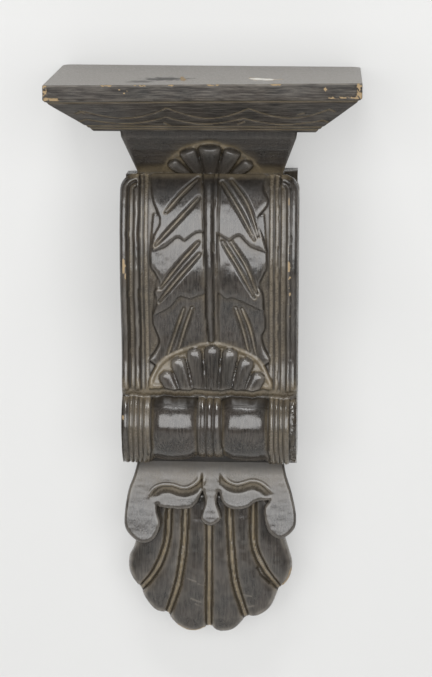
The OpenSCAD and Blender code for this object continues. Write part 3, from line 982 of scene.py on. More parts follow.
    def holes(self, index: np.ndarray, back_z: np.ndarray, high: int,
              low: int) -> tuple[np.ndarray, list[tuple[int, ...]]]:
        """Drill the two hanging holes in the back.

        Args:
            index: Numbers of the grid's points.
            back_z: Height of each row of the grid at the back.
            high: The row just above the holes.
            low: The row just below them.

        Returns:
            The new points, and the faces of the back round the holes and of the holes.
        """
        sides, first = 24, index.size
        turn = math.pi / 2 + np.arange(sides) * 2 * math.pi / sides
        points = [(x, 0.0, back_z[row]) for row in (high, low) for x in (-self.hole_x, self.hole_x)]
        for x in (-self.hole_x, self.hole_x):
            for y in (0.0, -self.hole_depth):
                points += [(x + self.hole_r * math.cos(a), y, self.hole_z + self.hole_r * math.sin(a)) for a in turn]
        ul, ur, ll, lr = range(first, first + 4)
        ring = [[first + 4 + (2 * k + deep) * sides + i for i in range(sides)] for k in (0, 1) for deep in (0, 1)]
        half = sides // 2
        left, right = ring[0], ring[2]
        faces = [
            (index[high - 1, 0], index[high - 1, -1], index[high, -1], ur, ul, index[high, 0]),
            (index[low, 0], ll, lr, index[low, -1], index[low + 1, -1], index[low + 1, 0]),
            (*index[high : low + 1, 0][::-1], ul, *left[: half + 1], ll),
            (ul, ur, *right[: half + 1], lr, ll, *left[half:], left[0]),
            (ur, *index[high : low + 1, -1], lr, *right[half:], right[0]),
        ]
        for mouth, end in ((ring[0], ring[1]), (ring[2], ring[3])):
            faces += [(mouth[k], mouth[(k + 1) % sides], end[(k + 1) % sides], end[k]) for k in range(sides)]
            faces.append(tuple(end[::-1]))
        return np.array(points), faces


@dataclass
class Apron:
    """The plate under the roll: two hanging lobes, two swags and a tongue."""

    top_z: float
    half: float = 97.5
    reach: float = 112.0
    pitch: float = 1.1

    OUTLINE = (
        ((-78, -138), (-86, -172), (-93, -192), (-97, -216), (-96.5, -235), (-86, -248), (-74, -252),
         (-63, -246), (-57, -231), (-60, -217), (-60.5, -208)),
        ((-60.5, -208), (-57, -211.5), (-30, -213), (-17, -208), (-9.5, -192)),
        ((-9.5, -192), (-7, -204), (-11, -217), (-10.5, -226), (0.5, -231.5), (11.5, -224), (11, -217),
         (7, -205), (8.5, -193)),
        ((8.5, -193), (13, -206), (25, -212.5), (40, -211), (52, -203.5), (65, -202)),
        ((65, -202), (60, -210), (60.5, -224), (66, -238), (79, -245), (93, -235), (96, -220),
         (91, -194), (84, -172), (78.5, -138)),
    )
    RIDGES = (
        ((-69, -203), (-64, -193), (-56, -188), (-45, -187.5), (-32, -191), (-22, -189), (-12, -181), (-10, -170)),
        ((10, -171), (13, -178), (21, -184), (31, -186), (46, -182), (57, -185), (69, -196)),
    )

    def solid(self) -> Solid:
        """Carve the apron.

        Returns:
            The apron as a closed solid.
        """
        outline = joined(*self.OUTLINE)
        cols = int(2 * self.half / self.pitch)
        rows = int((self.reach + 6) / self.pitch)
        x, z = np.meshgrid(np.linspace(-self.half - 1, self.half + 1, cols),
                           np.linspace(self.top_z + 4, self.top_z - self.reach, rows))
        x, z, near = snapped(x, z, outline, self.pitch)
        depth = np.interp(z, [-252, -150, -140], [81, 66.5, 65])
        depth -= 3.2 * (1 - dome(1 - np.clip(near / 4.2, 0, 1)))
        depth += 0.5 * (mottle(x, z, 22, 91) - 0.5) + 0.12 * (mottle(x * 0.35, z, 3.5, 92) - 0.5)
        shade = np.zeros(x.shape)
        for line in self.RIDGES:
            curve = soft_line(line)
            away, place = along(x, z, curve)
            over = np.interp(x, curve[:, 0] if curve[0, 0] < curve[-1, 0] else curve[::-1, 0],
                             curve[:, 1] if curve[0, 0] < curve[-1, 0] else curve[::-1, 1])
            below = (z < over) & (x > curve[:, 0].min()) & (x < curve[:, 0].max())
            taper = smooth(0, 0.18, place) * smooth(1.0, 0.86, place)
            step = np.where(below, 3.2 * smooth(9.5, 0.6, away), 0)
            lip = 1.1 * dome((away - 2.6) / 2.6) * ~below
            cut = 1.5 * dome(away / 1.1)
            depth += (lip - step - cut) * taper
            shade = np.maximum(shade, 0.5 * dome(away / 2.5) * taper)
        front = np.stack([x, -depth, z], axis=2)
        dust = np.maximum(cavity(depth, ((1.8, 1.3), (4.0, 4.5))), shade)
        dust = 0.7 * dust + 0.3 * smooth(-215, -165, z)
        dust = dust * (0.55 + 0.45 * mottle(x, z, 10, 93)) * smooth(0.0, 3.0, near)
        wear_and_sheen = np.clip(proud(depth, 2.0, 1.6) + 0.8 * smooth(2.6, 0.5, near), 0, 1) * (0.3 + mottle(x, z, 9, 94))
        # Painted shade in the narrow cuts, and on the apron's top, under the roll.
        deep = np.maximum(cavity(depth, ((1.3, 0.8),)), 0.75 * smooth(-177, -161, z))
        marks = np.stack([np.clip(dust, 0, 1), np.clip(wear_and_sheen, 0, 1), 0 * wear_and_sheen, deep], axis=2)
        return close_sheet(front, marks, wood(near), 5, narrow=0.04, drop=12.0)


def snapped(x: np.ndarray, z: np.ndarray, outline: np.ndarray,
            pitch: float) -> tuple[np.ndarray, np.ndarray, np.ndarray]:
    """Draw the grid's points that lie near an outline on to it.

    Args:
        x: First coordinate of each point.
        z: Second coordinate of each point.
        outline: The outline's points.
        pitch: Pitch of the grid.

    Returns:
        The moved coordinates, and the distance inside the outline, 0 for points on it.
    """
    near = inside(x, z, outline)
    gz, gx = np.gradient(near)
    size = np.hypot(gx, gz) + 1e-9
    gx, gz = gx / size, -gz / size
    close = np.abs(near) < 0.71 * pitch
    x = np.where(close, x - gx * near, x)
    z = np.where(close, z - gz * near, z)
    return x, z, np.where(close, 0.0, near)


def wood(near: np.ndarray) -> np.ndarray:
    """The cells of a grid whose four corners are all inside, or on, the outline.

    Args:
        near: Distance inside the outline at each point.

    Returns:
        One true or false for each cell: true for the cells of the connected patch that holds the middle one of the wood
            cells, less corner-only pinches.
    """
    ok = near >= 0
    cells = ok[:-1, :-1] & ok[:-1, 1:] & ok[1:, :-1] & ok[1:, 1:]
    some = near > 0
    cells &= some[:-1, :-1] | some[:-1, 1:] | some[1:, :-1] | some[1:, 1:]
    seen = np.zeros(cells.shape, bool)
    middle = np.argwhere(cells)[len(np.argwhere(cells)) // 2]
    seen[tuple(middle)] = True
    while True:
        grown = seen.copy()
        grown[1:] |= seen[:-1]
        grown[:-1] |= seen[1:]
        grown[:, 1:] |= seen[:, :-1]
        grown[:, :-1] |= seen[:, 1:]
        grown &= cells
        if (grown == seen).all():
            break
        seen = grown
    pinch = seen[:-1, :-1] & seen[1:, 1:] & ~seen[:-1, 1:] & ~seen[1:, :-1]
    seen[:-1, :-1] &= ~pinch
    pinch = ~seen[:-1, :-1] & ~seen[1:, 1:] & seen[:-1, 1:] & seen[1:, :-1]
    seen[:-1, 1:] &= ~pinch
    return seen


@dataclass
class Shell:
    """The scallop shell at the foot: six lobes with narrow fillets in their valleys."""

    top_z: float = -196.0
    foot_z: float = -370.3
    half: float = 97.0
    crown_d: float = 57.0
    pitch: float = 1.15

    OUTLINE = (
        ((-60, -200), (-84, -250), (-90, -268), (-96, -282), (-95, -300), (-82.5, -318)),
        ((-82.5, -318), (-78, -330), (-66, -343.5), (-51.5, -348.5)),
        ((-51.5, -348.5), (-46, -358), (-33, -367.5), (-18, -369.5), (-3.5, -364)),
        ((-3.5, -364), (8, -369.8), (25, -366), (39, -351.5)),
        ((39, -351.5), (54, -348), (67.5, -337), (76.5, -316)),
        ((76.5, -316), (88, -303), (91.5, -285), (86, -264), (80, -248), (60, -200)),
    )
    VALLEYS = (
        ((-44, -200), (-49, -223), (-51, -255), (-59, -283), (-70, -303), (-84, -320)),
        ((-28, -200), (-30, -223), (-32, -263), (-38, -305), (-46, -333), (-52, -350)),
        ((-3, -200), (-3, -245), (-3.2, -300), (-4, -352), (-4, -368)),
        ((19, -200), (20, -222), (22, -262), (26, -304), (35, -338), (40, -354)),
        ((46, -200), (47, -220), (48, -261), (58, -287), (68, -303), (80, -318)),
    )

    def solid(self) -> Solid:
        """Carve the shell.

        Returns:
            The shell as a closed solid.
        """
        outline = joined(*self.OUTLINE)
        cols = int(2 * self.half / self.pitch)
        rows = int((self.top_z - self.foot_z) / self.pitch)
        x, z = np.meshgrid(np.linspace(-self.half - 1, self.half + 1, cols),
                           np.linspace(self.top_z + 1, self.foot_z - 1, rows))
        x, z, near = snapped(x, z, outline, self.pitch)
        edges = [np.interp(z, (-360, -330, -300, -270, -240, -200), (-110, -104, -99, -96, -88, -64))]
        lines = [soft_line(v) for v in self.VALLEYS]
        edges += [np.interp(z, v[::-1, 1], v[::-1, 0]) for v in lines]
        edges += [np.interp(z, (-360, -330, -300, -270, -240, -200), (110, 103, 97, 94, 84, 64))]
        lobe = np.zeros(x.shape)
        for a, b in zip(edges[:-1], edges[1:]):
            u = np.clip((x - a) / np.maximum(b - a, 1), 0, 1)
            here = (x >= a) & (x < b)
            lobe = np.where(here, np.clip(4 * u * (1 - u), 0, 1) ** 0.62, lobe)
        fall = np.interp(z, (-370, -350, -320, -285, -245, -215), (34, 40, 45, 48, 49.5, 50))
        crown = np.interp(z, (-370, -345, -300, -240, -210), (9.5, 9.5, 8.2, 5.6, 3.5))
        depth = fall - 9.0 * (x / 93.0) ** 2 + crown * lobe
        dust, deep = np.zeros(x.shape), np.zeros(x.shape)
        for k, line in enumerate(lines):
            away, place = along(x, z, line)
            away = np.abs(away + 0.3 * wander(z, 40, 120 + k))
            depth -= 2.6 * dome((away - 2.9) / 1.6)
            depth += 1.2 * smooth(2.0, 1.2, away)
            dust = np.maximum(dust, 0.8 * smooth(2.0, 1.0, away))
            dust = np.maximum(dust, 0.3 * smooth(8.0, 3.0, away))
            # Painted shade: the V cuts in the valleys are darkened.
            deep = np.maximum(deep, dome((away - 2.9) / 1.3))
        depth -= 4.5 * (1 - dome(1 - np.clip(near / 5.0, 0, 1)))
        depth += 0.6 * (mottle(x, z, 20, 101) - 0.5) + 0.25 * (mottle(x, z, 5, 102) - 0.5)
        scratches = (((-28, -302), (-18, -305)), ((-16, -308), (-8, -311)), ((-24, -326), (-13, -331)),
                     ((-19, -333), (-11, -337)), ((36, -322), (45, -323)), ((38, -338), (48, -335)),
                     ((-36, -268), (-26, -270)))
        light = np.zeros(x.shape)
        for line in scratches:
            away, _ = along(x, z, line)
            depth -= 0.35 * dome(away / 0.9)
            light = np.maximum(light, 0.75 * dome(away / 1.0))
        gash, _ = along(x, z, ((52, -288), (56, -297), (66, -308)))
        depth -= 2.4 * dome(gash / 1.6)
        light = np.maximum(light, 0.35 * dome(gash / 1.6))
        front = np.stack([x, -depth, z], axis=2)
        shade = cavity(depth, ((2.0, 1.6), (4.5, 5.0)))
        dust = np.maximum(dust, 0.6 * shade) * (0.65 + 0.35 * mottle(x, z, 7, 103))
        rim = smooth(6.0, 0.6, near)
        worn = smooth(0.25, 0.5, mottle(x, z, 7, 104) * 0.75 + 0.25 * mottle(x, z, 2, 105))
        left_foot = smooth(-44, -36, x) * smooth(2, -6, x) * smooth(-350, -358, z)
        corners = smooth(74, 80, x) * smooth(-286, -296, z) * smooth(-318, -308, z)
        bare = smooth(4.2, 1.0, near) * worn * np.clip(1.0 * left_foot + 0.7 * corners + 0.12, 0, 1)
        wear_and_sheen = np.clip(rim * 1.5 + 0.9 * light + proud(depth, 2.5, 1.6), 0, 1) * (0.35 + 0.9 * mottle(x, z, 6, 106))
        # Painted shade inside the gash.
        deep = np.maximum(deep, dome(gash / 1.4))
        marks = np.stack([np.clip(dust, 0, 1), np.clip(wear_and_sheen, 0, 1), np.clip(bare, 0, 1), deep], axis=2)
        return close_sheet(front, marks, wood(near), 5, narrow=0.05)


@dataclass
class CarvedBlock:
    """The one block that carries the neck, the scroll, the apron and the shell."""

    lo: Vector
    hi: Vector
    shoulder_z: float = 172.0
    rear_d: float = 28.0
    most_faces: int = 190000

    def rear_block(self) -> Solid:
        """The top of the square back, which shows behind the scroll's round shoulders."""
        t = np.linspace(0, 1, 8)[:, None]
        x = np.linspace(-96.8, 93.8, 32)[None, :]
        x, t = x + 0 * t, t + 0 * x
        high = self.shoulder_z - 9.5 + 2.5 * x / 96.0
        z = high + (133.0 - high) * t
        front = np.stack([x, np.full(x.shape, -self.rear_d), z], axis=2)
        marks = np.zeros(front.shape[:2] + (len(MARKS),))
        marks[..., 0] = 0.12
        return close_sheet(front, marks, np.ones((len(z) - 1, x.shape[1] - 1), bool), 5)

    def build(self) -> bpy.types.Object:
        """Carve the parts and make one solid of them.

        Returns:
            The finished block.
        """
        parts = {
            "neck": Neck(top_z=self.hi.z / MM, shoulder_z=self.shoulder_z).solid(),
            "rear": self.rear_block(),
            "apron": Apron(top_z=-144.0).solid(),
            "shell": Shell(foot_z=max(self.lo.z / MM + 0.05, -370.3)).solid(),
        }
        scroll = Scroll(top_z=self.shoulder_z).solid()
        block = scroll.piece("carved_block")
        known = [scroll, *parts.values()]
        spare = []
        for name, part in parts.items():
            log.info("%s: %d points", name, len(part.points))
            spare.append(part.piece(name))
            join = block.modifiers.new(name, "BOOLEAN")
            join.object, join.operation, join.solver = spare[-1], "UNION", "EXACT"
        ready = block.evaluated_get(bpy.context.evaluated_depsgraph_get())
        whole = bpy.data.meshes.new_from_object(ready)
        block.modifiers.clear()
        block.data = whole
        for other in spare:
            bpy.data.objects.remove(other)
        self.thin(block)
        self.pass_marks(block.data, known)
        return block

    def thin(self, block: bpy.types.Object) -> None:
        """Merge faces where the wood is flat, down to the most that the piece may have."""
        faces = sum(len(p.vertices) - 2 for p in block.data.polygons)
        log.info("joined block: %d triangles", faces)
        if faces <= self.most_faces:
            return
        less = block.modifiers.new("less", "DECIMATE")
        less.ratio = self.most_faces / faces
        ready = block.evaluated_get(bpy.context.evaluated_depsgraph_get())
        block.data = bpy.data.meshes.new_from_object(ready)
        block.modifiers.clear()

    @staticmethod
    def pass_marks(mesh: bpy.types.Mesh, solids: list[Solid]) -> None:
        """Give each point of the joined mesh the marks of the nearest point it came from.

        Args:
            mesh: The joined mesh.
            solids: The solids that it was joined from.
        """
        points = np.vstack([s.points for s in solids]) * MM
        marks = np.vstack([s.marks for s in solids])
        tree = KDTree(len(points))
        for k, p in enumerate(points):
            tree.insert(p, k)
        tree.balance()
        near = np.array([tree.find(v.co)[1] for v in mesh.vertices])
        for k, mark in enumerate(MARKS):
            layer = mesh.attributes.get(mark) or mesh.attributes.new(mark, "FLOAT", "POINT")
            layer.data.foreach_set("value", marks[near, k].astype(np.float32))


# ---------------------------------------------------------------- the shelf


@dataclass
class Shelf:
    """The bevelled shelf board, with garlands cut in its front bevel."""

    lo: Vector
    hi: Vector
    fascia_h: float = 16.0
    bevel_run: float = 48.0
    tilt: float = 1.3
    corner_r: float = 10.0
    front_steps: int = 270
    side_steps: int = 76
    back_steps: int = 60
    arc_steps: int = 8

    def outline(self, run: float, back: float) -> np.ndarray:
        """One ring of the board.

        Args:
            run: How far the ring is inside the front and the two ends.
            back: How far it is inside the back.

        Returns:
            Its points, as x and y, anticlockwise from the front left corner.
        """
        x0, x1 = self.lo.x / MM + run, self.hi.x / MM - run
        y0, y1 = self.lo.y / MM + run, self.hi.y / MM - back
        r = max(self.corner_r - back, 1.0)
        turn = np.linspace(0, math.pi / 2, self.arc_steps + 1)
        front = np.stack([np.linspace(x0, x1, self.front_steps, endpoint=False),
                          np.full(self.front_steps, y0)], axis=1)
        ys = np.linspace(y0, y1 - r, self.side_steps, endpoint=False)
        right = np.stack([np.full(self.side_steps, x1), ys], axis=1)
        arc = np.stack([x1 - r + r * np.cos(turn), y1 - r + r * np.sin(turn)], axis=1)
        xs = np.linspace(x1 - r, x0 + r, self.back_steps)[1:-1]
        back_edge = np.stack([xs, np.full(len(xs), y1)], axis=1)
        mirror = arc[::-1] * (-1, 1) + (x0 + x1, 0)
        left = right[::-1] * (-1, 1) + (x0 + x1, 0)
        return np.vstack([front, right, arc, back_edge, mirror, left[:-1]])

    def twist(self, x: np.ndarray, y: np.ndarray) -> np.ndarray:
        """How far the board has sunk at each point, because it has warped a little."""
        u = np.clip((x - self.lo.x / MM) / ((self.hi.x - self.lo.x) / MM), 0, 1)
        v = np.clip(-y / 190.0, 0, 1)
        return (1 - u) * (4.2 * v + 1.0 * (1 - v)) + u * (0.1 * v + 2.2 * (1 - v))

    def garland(self, x: np.ndarray, down: np.ndarray) -> np.ndarray:
        """Depth of the lines cut in the front bevel.

        Args:
            x: Place along the front.
            down: Distance below the shelf's top.

        Returns:
            How deep each point is cut.
        """
        cut = np.zeros(x.shape)
        upper = ((-128, 30), (-84, 40), (-40, 26), (3, 40), (45, 27), (87, 39.5), (128, 28.5))
        lower = ((-126, 41.5), (-84, 47.5), (-42, 38), (-2, 47.5), (39, 39.5), (80, 47.5), (122, 42))
        for line, ends in ((upper, 8.0), (lower, 7.0)):
            knots = np.array(line, float)
            xs = np.arange(knots[0, 0] - ends, knots[-1, 0] + ends, 2.0)
            t = np.interp(xs, knots[:, 0], np.arange(len(knots)))
            k = np.clip(np.floor(t).astype(int), 0, len(knots) - 2)
            u = t - k
            hang = np.where(k % 2 == 0, 1 - (1 - u) ** 1.75, u**1.75)
            drop = knots[k, 1] + (knots[k + 1, 1] - knots[k, 1]) * hang
            past = np.maximum(knots[0, 0] - xs, xs - knots[-1, 0])
            drop = np.where(past > 0, drop + past * 0.45, drop)
            path = np.stack([xs, drop], axis=1)
            away, _ = along(x, down, path)
            cut = np.maximum(cut, 1.0 * dome(away / (0.85 + 0.15 * wander(x, 50, 7))))
        nicks = (((-44, 46), (-38, 50)), ((33, 47), (40, 44)), ((-131, 30), (-127, 33)), ((96, 35), (102, 33)))
        for nick in nicks:
            away, _ = along(x, down, nick)
            cut = np.maximum(cut, 0.8 * dome(away / 1.1))
        return cut

    def rings(self) -> list[tuple[float, float, float]]:
        """The rings from the top's middle to the underside's, as run, back inset and drop."""
        height = (self.hi.z - self.lo.z) / MM
        made = [(t, t, 0.0) for t in (*range(81, 12, -4), 8, 5, 3, 1.8, 1.0)]
        made += [(0.35, 0.35, 0.12), (0.08, 0.08, 0.5)]
        made += [(0.0, 0.0, d) for d in np.linspace(1.2, self.fascia_h - 0.8, 12)]
        made += [(0.3, 0.0, self.fascia_h)]
        for t in np.linspace(0, 1, 50)[1:]:
            made.append((0.3 + (self.bevel_run - 0.3) * t, 0.0, self.fascia_h + (height - self.fascia_h) * t))
        return made + [(self.bevel_run + t, t, height) for t in (1.5, 5, 20)]

    def build(self) -> bpy.types.Object:
        """Make the board.

        Returns:
            The finished shelf.
        """
        top, height = self.hi.z / MM, (self.hi.z - self.lo.z) / MM
        rows = []
        for run, back, drop in self.rings():
            ring = self.outline(run, back)
            rows.append(np.stack([ring[:, 0], ring[:, 1], np.full(len(ring), drop)], axis=1))
        grid = np.array(rows)
        x, y, drop = grid[..., 0], grid[..., 1], grid[..., 2]
        slope = smooth(self.fascia_h + 0.2, self.fascia_h + 1.4, drop) * (drop < height - 0.05)
        front = y < self.lo.y / MM + self.bevel_run + 0.5
        run = np.array([r[0] for r in self.rings()])[:, None] + 0 * x
        at_front = np.abs(y - self.lo.y / MM - run) < 0.6
        at_end = ~at_front & (y < -2)
        cut = self.garland(x, drop) * slope * at_front
        lines = 0.9 * dome((drop - self.fascia_h - 3.2) / 1.0) + 0.9 * dome((drop - height + 6.4) / 1.0)
        lines += 0.9 * dome((drop - height + 3.2) / 1.0)
        cut = np.maximum(cut, lines * slope * (at_front | at_end))
        tilt = math.atan2(self.bevel_run, height - self.fascia_h)
        inward = cut * math.cos(tilt)
        y = y + inward * at_front
        x = x - np.sign(x + 3) * inward * at_end
        lift = cut * math.sin(tilt)
        bare, hollow = self.chips(x, y, drop)
        edge_in = hollow * smooth(6, 2, drop)
        y = np.where(at_front & front, y + hollow, y)
        x = np.where(at_end | (np.abs(y - self.lo.y / MM) < 3), x - np.sign(x + 3) * hollow * smooth(140, 158, np.abs(x)), x)
        wave = 0.5 * (mottle(x, 3 * drop + y, 30, 111) - 0.5)
        lean = np.interp(drop, (0.0, self.fascia_h, height), (0.0, self.tilt, 0.0))
        y = y + (wave + lean) * at_front * (drop > 0.3)
        sunk = self.twist(x, y) * smooth(height + 2, height - 40, drop)
        z = top - drop - sunk + lift - 0.6 * edge_in * (drop < 1)
        z = np.minimum(z, top)
        dust = np.clip(cut * 1.2, 0, 1) * 0.55 * (0.5 + 0.5 * mottle(x, drop, 12, 115))
        wear_and_sheen = np.clip(smooth(2.2, 0.3, np.abs(drop - 0.5)) + 0.8 * smooth(1.4, 0.2, np.abs(drop - self.fascia_h)), 0, 1)
        wear_and_sheen = wear_and_sheen * (at_front | at_end) * mottle(x, y + drop, 8, 112)
        # Painted reflection: the whole top is lightened, as it catches the light from above.
        wear_and_sheen = np.maximum(wear_and_sheen, (drop < 0.05) * (0.9 + 0.5 * mottle(x / 5, y, 9, 117)))
        spots, stain = self.spots(x, y, drop)
        marks = np.stack([dust, np.clip(wear_and_sheen, 0, 1), np.maximum(0.7 * bare, spots), stain], axis=2)
        y = np.clip(y, self.lo.y / MM, 0.0)
        return self.close(np.stack([x, y, z], axis=2), marks)

    @staticmethod
    def spots(x: np.ndarray, y: np.ndarray, drop: np.ndarray) -> tuple[np.ndarray, np.ndarray]:
        """Drop the old paint and the stains on the top, and the specks on the fascia.

        Args:
            x: Place along the shelf.
            y: Place out from the wall.
            drop: Distance below the top.

        Returns:
            How bare or painted each point is, and how stained.
        """
        top = drop < 0.05
        ragged = mottle(x, y, 3.4, 116) - 0.5
        paint = np.hypot((x - 62) / 20, (y + 146) / 14) + 0.8 * ragged
        tail = np.hypot((x - 50) / 9, (y + 134) / 15) + 0.7 * ragged
        knot = np.hypot((x + 25 + 0.12 * (y + 145)) / 4.0, (y + 138) / 26) + 0.9 * ragged
        spots = np.maximum(smooth(0.75, 0.55, paint), smooth(0.8, 0.6, tail))
        spots = np.maximum(spots, 0.55 * smooth(0.95, 0.7, knot)) * top
        for cx, down, size in ((-88, 5.0, 1.3), (-83, 8.5, 1.1), (-80, 6.5, 0.8)):
            fleck = smooth(1.2, 0.8, np.hypot(x - cx, drop - down) / size) * ((drop > 1) & (drop < 15))
            spots = np.maximum(spots, 0.6 * fleck * (y < -180))
        stain = smooth(1.1, 0.5, np.hypot((x + 44) / 27, (y + 136) / 19) + 0.8 * ragged)
        stain = np.maximum(stain, 0.8 * smooth(1.1, 0.5, np.hypot((x + 68) / 15, (y + 160) / 12) + 0.8 * ragged))
        return spots, stain * top

    def chips(self, x: np.ndarray, y: np.ndarray, drop: np.ndarray) -> tuple[np.ndarray, np.ndarray]:
        """Chip the arrises and wear the front corners bare.

        Args:
            x: Place along the shelf.
            y: Place out from the wall.
            drop: Distance below the top.

        Returns:
            How bare each point is, and how far the wood has gone in.
        """
        ragged = mottle(x, drop * 1.5 + y * 0.4, 3.0, 113) * 0.7 + mottle(x, drop, 1.4, 114) * 0.3
        bare = np.zeros(x.shape)
        at_front = smooth(self.lo.y / MM + 2.6, self.lo.y / MM + 1.0, y)
        spans = ((-108, -94, 2.2), (-68, -60, 2.4), (-38, -32, 1.9), (1, 17, 2.2), (-73, -70, 1.4), (67, 79, 2.0))
        for start, end, tall in spans:
            u = (x - (start + end) / 2) / ((end - start) / 2)
            bare = np.maximum(bare, smooth(1.2, 0.6, np.abs(u) ** 3 + (drop / tall) ** 2 + 0.9 * (ragged - 0.4)) * at_front)
        bare = bare * smooth(0.22, 0.42, mottle(x, drop * 1.4, 1.8, 118))
        hollow = 0.9 * bare
        left, right = x - self.lo.x / MM, self.hi.x / MM - x
        left_worn = np.maximum(smooth(7, 2, left + 6 * (ragged - 0.5)) * (drop < 17.5),
                               smooth(24, 12, left) * smooth(2.6, 1.2, np.abs(drop - 15.2) + 2 * (ragged - 0.5)))
        right_worn = np.maximum(smooth(10, 3, right + 8 * (ragged - 0.5)) * smooth(15, 12, drop),
                                smooth(42, 30, right) * smooth(2.4, 1.0, np.abs(drop - 15.0) + 3 * (ragged - 0.4)))
        worn = np.maximum(left_worn * smooth(0.25, 0.45, ragged), right_worn * smooth(0.35, 0.5, ragged)) * at_front
        fleck = smooth(1.1, 0.8, np.abs(x - 124) / 2.2 + np.abs(drop - 6.0) / 2.6) * at_front
        bare = np.maximum(bare, np.maximum(worn, fleck))
        return np.clip(bare, 0, 1), np.clip(hollow + 0.8 * worn, 0, 1.4)

    @staticmethod
    def close(grid: np.ndarray, marks: np.ndarray) -> bpy.types.Object:
        """Join the rings and cap the two ends.

        Args:
            grid: The rings of points.
            marks: The marks on them.

        Returns:
            The board as an object.
        """
        rings, count = grid.shape[:2]
        faces = []
        for r in range(rings - 1):
            a, b = r * count, (r + 1) * count
            faces += [(a + k, b + k, b + (k + 1) % count, a + (k + 1) % count) for k in range(count)]
        faces.append(tuple(range(count)))
        faces.append(tuple(range((rings - 1) * count, rings * count))[::-1])
        return Solid(grid.reshape(-1, 3), faces, marks.reshape(-1, len(MARKS))).piece("ebonised_shelf_board")


# ---------------------------------------------------------------- finishes


def linear(colour: str) -> tuple[float, float, float, float]:
    """Turn an sRGB hex colour into linear red, green, blue and alpha."""
    parts = [int(colour[k : k + 2], 16) / 255 for k in (1, 3, 5)]
    red, green, blue = (c / 12.92 if c <= 0.04045 else ((c + 0.055) / 1.055) ** 2.4 for c in parts)
    return red, green, blue, 1.0


class Grain(Enum):
    """The way that the wood's grain runs in a piece."""

    ACROSS = (1.0, 14.0, 14.0)
    UPRIGHT = (14.0, 14.0, 1.0)


